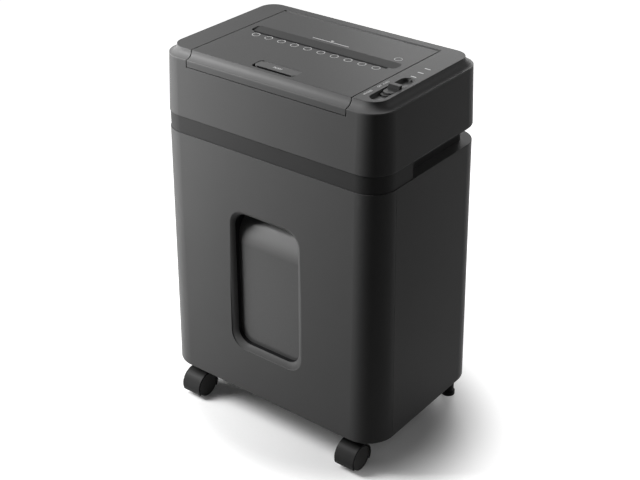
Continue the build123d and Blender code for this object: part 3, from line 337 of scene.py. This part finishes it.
def hub_faces(tree, hub_hex, tone):
    """Tone with another colour on the faces that look along a wheel's axle."""
    facing = add_node(tree, "ShaderNodeTexCoord").outputs["Normal"]
    along = add_node(
        tree, "ShaderNodeMath", settings={"operation": "ABSOLUTE"}, links={0: part_of(tree, facing, "X")})
    side = rising(tree, along.outputs["Value"], *HUB_FACING)
    capped = add_node(
        tree, "ShaderNodeMix", settings={"data_type": "RGBA"}, links={"Factor": side, MIX_A: tone})
    capped.inputs[MIX_B].default_value = hex_to_linear(hub_hex)
    return capped.outputs[MIX_RESULT]


def moulded_plastic(
        name, colour_hex, roughness, grain_mm, bump_mm, edge_mm=0.0, sheen=0.05, satin=None, hub_hex=None):
    """Moulded plastic or rubber: a grain that breaks up the gloss, with faint flow marks in the colour.

    Between the two heights of satin the tool was left smooth, so the piece takes a soft highlight there, and it is
    also painted paler there as a painted highlight; the flat top above is painted a shade darker as painted shade.
    The faces that look along a wheel's axle have the colour of hub_hex.
    """
    material, tree, place = new_material(name)
    colour = hex_to_linear(colour_hex)
    # A real moulded grain is some 0.2 mm wide, too fine to show, so it is drawn coarser
    grain = noise(tree, place, grain_mm, detail=3.0, roughness=0.6)
    flow = noise(tree, place, FLOW_MM, detail=2.0)
    tone = between(tree, flow, shade(colour, 1 - FLOW_TONE), shade(colour, 1 + FLOW_TONE))
    rough = ranged(tree, grain, roughness - GRAIN_GLOSS, roughness + GRAIN_GLOSS, start=0.3, end=0.7)
    if satin:
        tone, rough = cove_polish_and_painted_light(tree, place, satin, tone, rough)
    if hub_hex:
        tone = hub_faces(tree, hub_hex, tone)
    bump_links = {"Height": grain}
    if edge_mm:
        rounded = add_node(tree, "ShaderNodeBevel", settings={"samples": 6}, values={"Radius": edge_mm / 1000})
        bump_links["Normal"] = rounded.outputs["Normal"]
    bump = add_node(
        tree, "ShaderNodeBump", values={"Strength": 0.5, "Distance": bump_mm / 1000}, links=bump_links)
    shader = add_node(
        tree, "ShaderNodeBsdfPrincipled", values={"IOR": 1.5, "Specular IOR Level": sheen},
        links={"Base Color": tone, "Roughness": rough, "Normal": bump.outputs["Normal"]})
    close_material(tree, shader)
    return material


def drawn_metal(name, colour_hex, roughness, line_mm, bump_mm):
    """Drawn or ground metal: lines along the bar that stretch the highlights."""
    material, tree, place = new_material(name)
    colour = hex_to_linear(colour_hex)
    stretched = add_node(
        tree, "ShaderNodeMapping", values={"Scale": (0.04, 1.0, 1.0)}, links={"Vector": place})
    # Real grinding lines are hundredths of a millimetre wide, too fine to show, so they are drawn coarser
    lines = noise(tree, stretched.outputs["Vector"], line_mm, detail=4.0, roughness=0.7)
    bump = add_node(
        tree, "ShaderNodeBump", values={"Strength": 0.4, "Distance": bump_mm / 1000}, links={"Height": lines})
    shader = add_node(
        tree, "ShaderNodeBsdfPrincipled", values={"Metallic": 1.0}, links={
            "Base Color": between(tree, lines, shade(colour, 0.86), shade(colour, 1.1)),
            "Roughness": ranged(tree, lines, roughness - 0.08, roughness + 0.08),
            "Normal": bump.outputs["Normal"]})
    close_material(tree, shader)
    return material


def plated_steel(name, colour_hex, roughness, spangle_mm):
    """Zinc-plated sheet: crystals a few millimetres wide that differ a little in tone and gloss."""
    material, tree, place = new_material(name)
    colour = hex_to_linear(colour_hex)
    spangle = add_node(
        tree, "ShaderNodeTexVoronoi", values={"Scale": per_metre(spangle_mm), "Randomness": 1.0},
        links={"Vector": place})
    crystal = add_node(tree, "ShaderNodeSeparateColor", links={"Color": spangle.outputs["Color"]})
    shader = add_node(
        tree, "ShaderNodeBsdfPrincipled", values={"Metallic": 1.0}, links={
            "Base Color": between(tree, crystal.outputs["Red"], shade(colour, 0.88), shade(colour, 1.08)),
            "Roughness": ranged(tree, crystal.outputs["Green"], roughness - 0.07, roughness + 0.07)})
    close_material(tree, shader)
    return material


def smoked_polycarbonate(name, colour_hex, scoop):
    """Smoke-tinted sheet: a satin gloss, nearly opaque over the dark tub, with faint haze from moulding.

    Between the two heights of scoop the sheet bends back under the light, and it is painted paler towards the top,
    a painted highlight on top of the one that it takes there.
    """
    material, tree, place = new_material(name)
    colour = hex_to_linear(colour_hex)
    haze = noise(tree, place, 120.0, detail=1.0)
    tint = between(tree, haze, shade(colour, 0.96), shade(colour, 1.04))
    # Painted highlight: the pane is painted paler up its scoop
    scoop_painted_highlight = ranged(tree, part_of(tree, place, "Z"), *PANE_TONE_AND_PAINTED_HIGHLIGHT, start=scoop[0], end=scoop[1])
    # The real satin is too fine to show, so it is drawn coarser
    satin = noise(tree, place, 1.4, detail=2.0)
    shader = add_node(
        tree, "ShaderNodeBsdfPrincipled", values={"IOR": 1.58, "Specular IOR Level": 0.12},
        links={"Base Color": scaled(tree, tint, scoop_painted_highlight), "Roughness": ranged(tree, satin, 0.22, 0.3)})
    close_material(tree, shader)
    return material


def printed_ink(name, colour_hex):
    """Pad-printed ink: matt off-white, a little thin where the grain shows through."""
    material, tree, place = new_material(name)
    colour = hex_to_linear(colour_hex)
    # The real thin spots are as fine as the grain under them, so they are drawn coarser
    thin = noise(tree, place, 1.2, detail=2.0)
    shader = add_node(
        tree, "ShaderNodeBsdfPrincipled", values={"Roughness": 0.7, "IOR": 1.45},
        links={"Base Color": between(tree, thin, shade(colour, 0.72), colour)})
    close_material(tree, shader)
    return material


def frosted_acrylic(name, colour_hex):
    """Frosted acrylic light pipes: milky grey when unlit, with a soft gloss."""
    material, tree, place = new_material(name)
    colour = hex_to_linear(colour_hex)
    # A real frost is too fine to show, so it is drawn coarser
    frost = noise(tree, place, 1.0, detail=2.0)
    shader = add_node(
        tree, "ShaderNodeBsdfPrincipled", values={"IOR": 1.49}, links={
            "Base Color": between(tree, frost, shade(colour, 0.9), shade(colour, 1.1)),
            "Roughness": ranged(tree, frost, 0.25, 0.4)})
    close_material(tree, shader)
    return material


def laminate(name, colour_hex):
    """Glass-epoxy board: green lacquer over a woven cloth."""
    material, tree, place = new_material(name)
    colour = hex_to_linear(colour_hex)
    # The real cloth has some two threads to the millimetre, too fine to show, so it is drawn coarser
    weave = add_node(
        tree, "ShaderNodeTexWave", settings={"wave_type": "BANDS", "bands_direction": "DIAGONAL"},
        values={"Scale": per_metre(6.0), "Distortion": 1.0}, links={"Vector": place})
    shader = add_node(
        tree, "ShaderNodeBsdfPrincipled", values={"Roughness": 0.3},
        links={"Base Color": between(tree, weave.outputs["Fac"], shade(colour, 0.8), shade(colour, 1.15))})
    close_material(tree, shader)
    return material


def finish_nodes(material, *names):
    """Give the named pieces a finish in place of the plain one."""
    for name in names:
        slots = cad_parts[name].material_slots
        if not slots:
            raise RuntimeError(f"{name} has no material slot")
        for slot in slots:
            slot.material = material


def finish_piece(bm, name, material, body):
    """Turn a bmesh into a piece that moves with a body."""
    mesh = bpy.data.meshes.new(name)
    bm.to_mesh(mesh)
    bm.free()
    mesh.materials.append(material)
    piece = bpy.data.objects.new(name, mesh)
    bpy.context.scene.collection.objects.link(piece)
    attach(piece, body)


def face_up(bm):
    """Turn flat prints so that they face upwards."""
    bm.normal_update()
    bmesh.ops.reverse_faces(bm, faces=[face for face in bm.faces if face.normal.z < 0])


def print_ring(bm, centre, radius, stroke):
    """A thin flat ring."""
    rims = []
    for rim in (radius, radius - stroke):
        rims += bmesh.ops.create_circle(
            bm, cap_ends=False, radius=rim, segments=RING_SEGMENTS, matrix=Matrix.Translation(centre))["verts"]
    bmesh.ops.bridge_loops(bm, edges=list({edge for vert in rims for edge in vert.link_edges}))


def print_bar(bm, centre, length, width):
    """A thin flat bar along X."""
    size = Matrix.Diagonal((length, width, 1.0, 1.0))
    bmesh.ops.create_grid(bm, x_segments=1, y_segments=1, size=0.5, matrix=Matrix.Translation(centre) @ size)


def print_word(bm, word, height, bold, place):
    """Add a word in the plain built-in typeface, laid by a matrix."""
    curve = bpy.data.curves.new(word, "FONT")
    curve.body = word
    curve.size = height
    curve.offset = bold * height
    curve.align_x = "CENTER"
    curve.align_y = "CENTER"
    holder = bpy.data.objects.new(word, curve)
    bpy.context.scene.collection.objects.link(holder)
    bpy.context.view_layer.update()
    mesh = bpy.data.meshes.new_from_object(holder.evaluated_get(bpy.context.evaluated_depsgraph_get()))
    mesh.transform(place)
    bm.from_mesh(mesh)
    bpy.data.objects.remove(holder)
    bpy.data.curves.remove(curve)
    bpy.data.meshes.remove(mesh)


class SHREDDER_OT_case_finish(bpy.types.Operator):
    """Give the head, lid, belt, cabinet and bin face their moulded finishes"""

    bl_idname = "shredder.case_finish"
    bl_label = "Case finishes"

    def execute(self, context):
        looks = context.scene.shredder_finishes
        grain = looks.grain * 1000
        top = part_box("lid")[1][2]
        # The cove round the top is painted paler as a painted highlight, and the flat top is painted darker as
        # painted shade
        cove = (top - looks.cove_height, top)
        shell = moulded_plastic(
            "charcoal_abs_shell", looks.shell, roughness=0.42, grain_mm=grain, bump_mm=0.05, edge_mm=1.2,
            satin=cove)
        finish_nodes(shell, "head_shell", "cabinet_shell")
        lid = moulded_plastic(
            "charcoal_abs_lid", looks.lid, roughness=0.42, grain_mm=grain, bump_mm=0.05, edge_mm=1.0, satin=cove)
        finish_nodes(lid, "lid", "push_tab")
        face = moulded_plastic(
            "charcoal_abs_bin_face", looks.bin, roughness=0.42, grain_mm=grain, bump_mm=0.05, edge_mm=1.2)
        finish_nodes(face, "bin_front")
        belt = moulded_plastic(
            "dark_abs_belt", looks.belt, roughness=0.5, grain_mm=grain, bump_mm=0.05, edge_mm=0.8)
        finish_nodes(belt, "head_base")
        insert = moulded_plastic(
            "dark_abs_slot_insert", looks.insert, roughness=0.44, grain_mm=grain, bump_mm=0.04, edge_mm=0.6)
        finish_nodes(insert, "slot_insert")
        return {"FINISHED"}


class SHREDDER_OT_bin_finish(bpy.types.Operator):
    """Give the tub, the black mouldings inside and the window their finishes"""

    bl_idname = "shredder.bin_finish"
    bl_label = "Bin finishes"

    def execute(self, context):
        looks = context.scene.shredder_finishes
        tub = moulded_plastic("black_polypropylene", looks.inside, roughness=0.55, grain_mm=2.4, bump_mm=0.06)
        finish_nodes(tub, "bin_tub", "base_plate", "bin_runners", "slide_switch", "feed_tray", "throat_guides")
        finish_nodes(tub, "window_liner", "pocket_shell")
        finish_nodes(tub, "sensor_lever", "front_comb", "rear_comb")
        # The pane's scoop carries a painted highlight
        pane = smoked_polycarbonate("smoked_polycarbonate", looks.pane, (looks.scoop_low, looks.scoop_high))
        finish_nodes(pane, "window_pane")
        return {"FINISHED"}


class SHREDDER_OT_caster_finish(bpy.types.Operator):
    """Give the casters, the rear feet and the cord inlet their finishes"""

    bl_idname = "shredder.caster_finish"
    bl_label = "Caster finishes"

    def execute(self, context):
        looks = context.scene.shredder_finishes
        hood = moulded_plastic(
            "black_nylon_hood", looks.caster, roughness=0.38, grain_mm=1.8, bump_mm=0.04, edge_mm=0.8)
        finish_nodes(hood, "left_caster_hood", "right_caster_hood", "rear_feet", "cord_inlet")
        tread = moulded_plastic(
            "black_nylon_wheel", looks.wheel, roughness=0.5, grain_mm=2.2, bump_mm=0.06, edge_mm=0.8,
            hub_hex=looks.hub)
        for side in SIDES:
            finish_nodes(tread, f"{side}_caster_inner_wheel", f"{side}_caster_outer_wheel")
        return {"FINISHED"}


class SHREDDER_OT_mechanism_finish(bpy.types.Operator):
    """Give the cutters, gears, shafts, motor and rollers their finishes"""

    bl_idname = "shredder.mechanism_finish"
    bl_label = "Mechanism finishes"

    def execute(self, context):
        cutter = drawn_metal("ground_tool_steel", "#85888c", roughness=0.34, line_mm=1.2, bump_mm=0.02)
        finish_nodes(cutter, "front_cutter_discs", "rear_cutter_discs")
        bar = drawn_metal("drawn_steel_bar", "#b4b6b9", roughness=0.3, line_mm=1.0, bump_mm=0.015)
        finish_nodes(
            bar, "front_cutter_shaft", "rear_cutter_shaft", "feed_roller_shaft", "tie_rods", "gear_studs")
        finish_nodes(bar, "motor_shaft", "lid_hinge_pins", "tab_pin", "lever_pin", "bin_screws")
        for side in SIDES:
            finish_nodes(bar, f"{side}_caster_stem", f"{side}_caster_axle")
        sheet = plated_steel("zinc_plated_sheet", "#aeb1b5", roughness=0.36, spangle_mm=4.0)
        finish_nodes(sheet, "left_side_plate", "right_side_plate")
        finish_nodes(sheet, "front_shaft_gear", "rear_shaft_gear", "drive_gear")
        can = plated_steel("zinc_plated_motor_can", "#777a7e", roughness=0.42, spangle_mm=6.0)
        finish_nodes(can, "motor_body")
        nylon = moulded_plastic("natural_nylon", "#d9d5c6", roughness=0.42, grain_mm=1.5, bump_mm=0.02)
        finish_nodes(nylon, "first_gear", "second_gear", "idler_gear", "feed_gear", "feed_pinion")
        brass = drawn_metal("turned_brass", "#c19a52", roughness=0.28, line_mm=0.8, bump_mm=0.01)
        finish_nodes(brass, "shaft_bushes", "motor_pinion")
        rubber = moulded_plastic("matt_roller_rubber", "#202021", roughness=0.85, grain_mm=1.1, bump_mm=0.12)
        finish_nodes(rubber, "feed_rollers")
        return {"FINISHED"}


class SHREDDER_OT_control_finish(bpy.types.Operator):
    """Give the slider, lenses and board their finishes"""

    bl_idname = "shredder.control_finish"
    bl_label = "Control finishes"

    def execute(self, context):
        looks = context.scene.shredder_finishes
        slide = moulded_plastic(
            "dark_abs_slider", looks.slider, roughness=0.36, grain_mm=1.2, bump_mm=0.03, edge_mm=0.8)
        finish_nodes(slide, "mode_slider")
        finish_nodes(frosted_acrylic("frosted_acrylic_light_pipe", "#9b9d9e"), "indicator_lenses")
        finish_nodes(laminate("glass_epoxy_board", "#1f5c35"), "control_board")
        return {"FINISHED"}


class SHREDDER_OT_lid_marks(bpy.types.Operator):
    """Print the rings and the sheet mark on the lid"""

    bl_idname = "shredder.lid_marks"
    bl_label = "Lid marks"

    def execute(self, context):
        marks = context.scene.shredder_marks
        ink = printed_ink("pad_printed_ink_lid", context.scene.shredder_finishes.ink)
        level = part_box("lid")[1][2] + marks.film
        insert_low, insert_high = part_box("slot_insert")
        ahead = insert_low[1] - marks.ring_ahead
        step = (marks.ring_last - marks.ring_first) / (marks.ring_count - 1)
        bm = bmesh.new()
        for i in range(marks.ring_count):
            place = Vector((marks.ring_first + i * step, ahead, level))
            print_ring(bm, place, marks.ring_radius, marks.stroke)
        behind = insert_high[1]
        lone = Vector((marks.lone_x, behind + marks.lone_behind, level))
        print_ring(bm, lone, marks.ring_radius, marks.stroke)
        bar = Vector((marks.sheet_x, behind + marks.sheet_behind, level))
        print_bar(bm, bar, marks.sheet_length, marks.sheet_width)
        arrow = Matrix.Translation((marks.sheet_x, behind + marks.arrow_behind, level))
        bmesh.ops.create_circle(
            bm, cap_ends=True, radius=marks.arrow_radius, segments=3,
            matrix=arrow @ Matrix.Rotation(math.pi, 4, "Z"))
        face_up(bm)
        finish_piece(bm, "lid_prints", ink, "lid")
        return {"FINISHED"}


class SHREDDER_OT_slot_shadow_strip(bpy.types.Operator):
    """Lay a thin black strip along the front of the paper slot, as painted shade for the slot's dark front gap"""

    bl_idname = "shredder.slot_edge"
    bl_label = "Slot edge"

    def execute(self, context):
        marks = context.scene.shredder_marks
        # The strip's black is painted shade, standing in for the shadow in the slot's front gap
        rubber = moulded_plastic(
            "black_rubber_slot_edge", context.scene.shredder_finishes.inside, roughness=0.7, grain_mm=1.4,
            bump_mm=0.05)
        insert_low, insert_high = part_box("slot_insert")
        middle = (insert_low[0] + insert_high[0]) / 2
        front = insert_low[1] + marks.flange - marks.slot_edge / 2
        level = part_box("lid")[1][2] + marks.film
        length = insert_high[0] - insert_low[0] - 4 * marks.ring_radius
        size = Matrix.Diagonal((length, marks.slot_edge, marks.strip, 1.0))
        place = Matrix.Translation((middle, front, level + marks.strip / 2))
        bm = bmesh.new()
        bmesh.ops.create_cube(bm, size=1.0, matrix=place @ size)
        finish_piece(bm, "slot_edge", rubber, "lid")
        return {"FINISHED"}


class SHREDDER_OT_tab_word(bpy.types.Operator):
    """Print the plain word on the push tab"""

    bl_idname = "shredder.tab_word"
    bl_label = "Tab word"

    def execute(self, context):
        marks = context.scene.shredder_marks
        ink = printed_ink("pad_printed_ink_tab", context.scene.shredder_finishes.ink)
        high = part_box("push_tab")[1]
        place = Matrix.Translation((0.0, high[1] - marks.tab_word_ahead, high[2] + marks.film))
        bm = bmesh.new()
        print_word(bm, "PUSH", marks.tab_word, marks.bold, place)
        face_up(bm)
        finish_piece(bm, "tab_print", ink, "push_tab")
        return {"FINISHED"}


class SHREDDER_OT_tab_shade_strip(bpy.types.Operator):
    """Line the front of the push tab with a ridged black strip, as painted shade for the tab's shaded front"""

    bl_idname = "shredder.tab_grip"
    bl_label = "Tab grip"

    def execute(self, context):
        marks = context.scene.shredder_marks
        # The strip's black is painted shade for the shaded front of the tab
        rubber = moulded_plastic(
            "black_rubber_tab_grip", context.scene.shredder_finishes.inside, roughness=0.7, grain_mm=1.4,
            bump_mm=0.05)
        low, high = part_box("push_tab")
        width = high[0] - low[0] - 2 * marks.tab_corner
        cells = 2 * marks.tab_ridges
        upright = Matrix.Rotation(math.pi / 2, 4, "X")
        size = Matrix.Diagonal((width, marks.tab_face, 1.0, 1.0))
        bm = bmesh.new()
        bmesh.ops.create_grid(bm, x_segments=cells, y_segments=1, size=0.5, matrix=upright @ size)
        crests = [vert for vert in bm.verts if round((vert.co.x / width + 0.5) * cells) % 2]
        bmesh.ops.translate(bm, verts=crests, vec=(0.0, -marks.tab_ridge, 0.0))
        back = bmesh.ops.extrude_face_region(bm, geom=bm.faces[:])["geom"]
        for vert in (part for part in back if isinstance(part, bmesh.types.BMVert)):
            vert.co.y = marks.tab_ridge
        front = high[1] - marks.tab_depth - marks.tab_ridge
        level = high[2] - marks.tab_face / 2 - marks.tab_ridge
        bmesh.ops.translate(bm, verts=bm.verts[:], vec=(0.0, front, level))
        bmesh.ops.recalc_face_normals(bm, faces=bm.faces[:])
        finish_piece(bm, "tab_grip", rubber, "push_tab")
        return {"FINISHED"}


class SHREDDER_OT_control_marks(bpy.types.Operator):
    """Print the plain words beside the mode slider"""

    bl_idname = "shredder.control_marks"
    bl_label = "Control marks"

    def execute(self, context):
        marks = context.scene.shredder_marks
        ink = printed_ink("pad_printed_ink_controls", context.scene.shredder_finishes.ink)
        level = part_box("head_shell")[1][2] + marks.film
        slide_low, slide_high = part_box("mode_slider")
        middle = (slide_low[1] + slide_high[1]) / 2
        column = slide_low[0] - marks.control_gap
        turn = Matrix.Rotation(math.pi / 2, 4, "Z")
        bm = bmesh.new()
        for word, behind in CONTROL_WORDS:
            place = Matrix.Translation((column, middle + behind, level)) @ turn
            print_word(bm, word, marks.control_word, marks.bold, place)
        face_up(bm)
        finish_piece(bm, "control_prints", ink, "case")
        return {"FINISHED"}


def softbox(name, place, target, size, power):
    """A rectangular area lamp aimed at a point."""
    lamp = bpy.data.lights.new(name, "AREA")
    lamp.shape = "RECTANGLE"
    lamp.size, lamp.size_y = size
    lamp.energy = power
    holder = bpy.data.objects.new(name, lamp)
    holder.location = place
    aim = Vector(target) - Vector(place)
    holder.rotation_euler = aim.to_track_quat("-Z", "Y").to_euler()
    bpy.context.scene.collection.objects.link(holder)


def seen_directly(tree, rays):
    """One for rays from the camera, from a gloss and through a clear piece, or else nought."""
    sharp = combined(tree, "MAXIMUM", rays.outputs["Is Camera Ray"], rays.outputs["Is Glossy Ray"])
    return combined(tree, "MAXIMUM", sharp, rays.outputs["Is Transmission Ray"])


class SHREDDER_OT_stage(bpy.types.Operator):
    """Set the pale floor, the soft lamps and the camera"""

    bl_idname = "shredder.stage"
    bl_label = "Stage"

    def execute(self, context):
        scene = context.scene
        stage = scene.shredder_stage
        scene.view_settings.view_transform = "Standard"
        self.make_floor(scene)
        self.make_world(scene)
        for name, place, target, size, power in SOFTBOXES:
            softbox(name, place, target, size, getattr(stage, power))
        self.make_camera(scene, stage)
        return {"FINISHED"}

    def make_camera(self, scene, stage):
        """Stand the camera at the photograph's viewing angle."""
        camera = bpy.data.cameras.new("camera")
        camera.lens = stage.lens
        camera.sensor_width = SENSOR_MM
        camera.shift_y = stage.shift
        camera.clip_end = CLIP_END
        holder = bpy.data.objects.new("camera", camera)
        holder.location = stage.camera_place
        holder.rotation_euler = (math.pi / 2 - stage.camera_dip, 0.0, stage.camera_turn)
        scene.collection.objects.link(holder)
        scene.camera = holder

    def make_floor(self, scene):
        """Lay white paper with a soft shadow round the shredder's foot, partly cast by the lamps and partly
        painted by a glow that is weak there, and white away from it.
        """
        bm = bmesh.new()
        bmesh.ops.create_grid(bm, x_segments=2, y_segments=2, size=FLOOR_HALF)
        mesh = bpy.data.meshes.new("floor")
        bm.to_mesh(mesh)
        bm.free()
        floor = bpy.data.objects.new("floor", mesh)
        scene.collection.objects.link(floor)
        material, tree, place = new_material("white_studio_paper")
        # Real paper fibres are too fine to show, so they are drawn coarser
        fibre = noise(tree, place, 4.0, detail=2.0)
        paper = add_node(
            tree, "ShaderNodeBsdfPrincipled", values={"Roughness": 0.9, "Specular IOR Level": 0.1},
            links={"Base Color": between(tree, fibre, hex_to_linear("#f2f2f2"), hex_to_linear("#f7f7f7"))})
        spread = add_node(
            tree, "ShaderNodeMapping", links={"Vector": place},
            values={
                "Location": (0.0, SHADOW_FORWARD, 0.0),
                "Scale": (1 / SHADOW_HALF[0], 1 / SHADOW_HALF[1], 0.0)})
        reach = add_node(
            tree, "ShaderNodeVectorMath", settings={"operation": "LENGTH"}, links={0: spread.outputs["Vector"]})
        glow = rising(tree, reach.outputs["Value"], *SHADOW_FADE, *PAPER_GLOW)
        rays = add_node(tree, "ShaderNodeLightPath")
        lift = add_node(
            tree, "ShaderNodeEmission", values={"Color": WHITE},
            links={"Strength": combined(tree, "MULTIPLY", seen_directly(tree, rays), glow)})
        both = add_node(tree, "ShaderNodeAddShader", links={0: paper.outputs[0], 1: lift.outputs[0]})
        bounce = add_node(tree, "ShaderNodeBsdfDiffuse", values={"Color": hex_to_linear(FLOOR_BOUNCE)})
        shader = add_node(
            tree, "ShaderNodeMixShader",
            links={0: rays.outputs["Is Diffuse Ray"], 1: both.outputs[0], 2: bounce.outputs[0]})
        close_material(tree, shader)
        mesh.materials.append(material)

    def make_world(self, scene):
        """White surroundings that give hardly any light of their own."""
        world = bpy.data.worlds.new("studio")
        world.use_nodes = True
        tree = world.node_tree
        tree.nodes.clear()
        seen = seen_directly(tree, add_node(tree, "ShaderNodeLightPath"))
        dim = add_node(tree, "ShaderNodeBackground", values={"Color": WHITE, "Strength": WORLD_LIGHT})
        white = add_node(tree, "ShaderNodeBackground", values={"Color": WHITE, "Strength": 1.0})
        mixed = add_node(
            tree, "ShaderNodeMixShader", links={0: seen, 1: dim.outputs[0], 2: white.outputs[0]})
        add_node(tree, "ShaderNodeOutputWorld", links={"Surface": mixed.outputs[0]})
        scene.world = world


OPERATORS = (
    SHREDDER_OT_case_finish,
    SHREDDER_OT_bin_finish,
    SHREDDER_OT_caster_finish,
    SHREDDER_OT_mechanism_finish,
    SHREDDER_OT_control_finish,
    SHREDDER_OT_lid_marks,
    SHREDDER_OT_slot_shadow_strip,
    SHREDDER_OT_tab_word,
    SHREDDER_OT_tab_shade_strip,
    SHREDDER_OT_control_marks,
    SHREDDER_OT_stage,
)


class SHREDDER_PT_panel(bpy.types.Panel):
    """Lists the shredder's steps"""

    bl_idname = "SHREDDER_PT_panel"
    bl_label = "Paper Shredder"
    bl_space_type = "VIEW_3D"
    bl_region_type = "UI"
    bl_category = "Shredder"

    def draw(self, context):
        for operator in OPERATORS:
            self.layout.operator(operator.bl_idname)


CLASSES = (ShredderFinishes, ShredderMarks, ShredderStage, *OPERATORS, SHREDDER_PT_panel)


def register():
    for cls in CLASSES:
        bpy.utils.register_class(cls)
    bpy.types.Scene.shredder_finishes = PointerProperty(type=ShredderFinishes)
    bpy.types.Scene.shredder_marks = PointerProperty(type=ShredderMarks)
    bpy.types.Scene.shredder_stage = PointerProperty(type=ShredderStage)


def unregister():
    del bpy.types.Scene.shredder_stage
    del bpy.types.Scene.shredder_marks
    del bpy.types.Scene.shredder_finishes
    for cls in reversed(CLASSES):
        bpy.utils.unregister_class(cls)


def main():
    register()
    bpy.ops.shredder.case_finish()
    bpy.ops.shredder.bin_finish()
    bpy.ops.shredder.caster_finish()
    bpy.ops.shredder.mechanism_finish()
    bpy.ops.shredder.control_finish()
    bpy.ops.shredder.lid_marks()
    bpy.ops.shredder.slot_edge()
    bpy.ops.shredder.tab_word()
    bpy.ops.shredder.tab_grip()
    bpy.ops.shredder.control_marks()
    bpy.ops.shredder.stage()


if __name__ == "__main__":
    main()
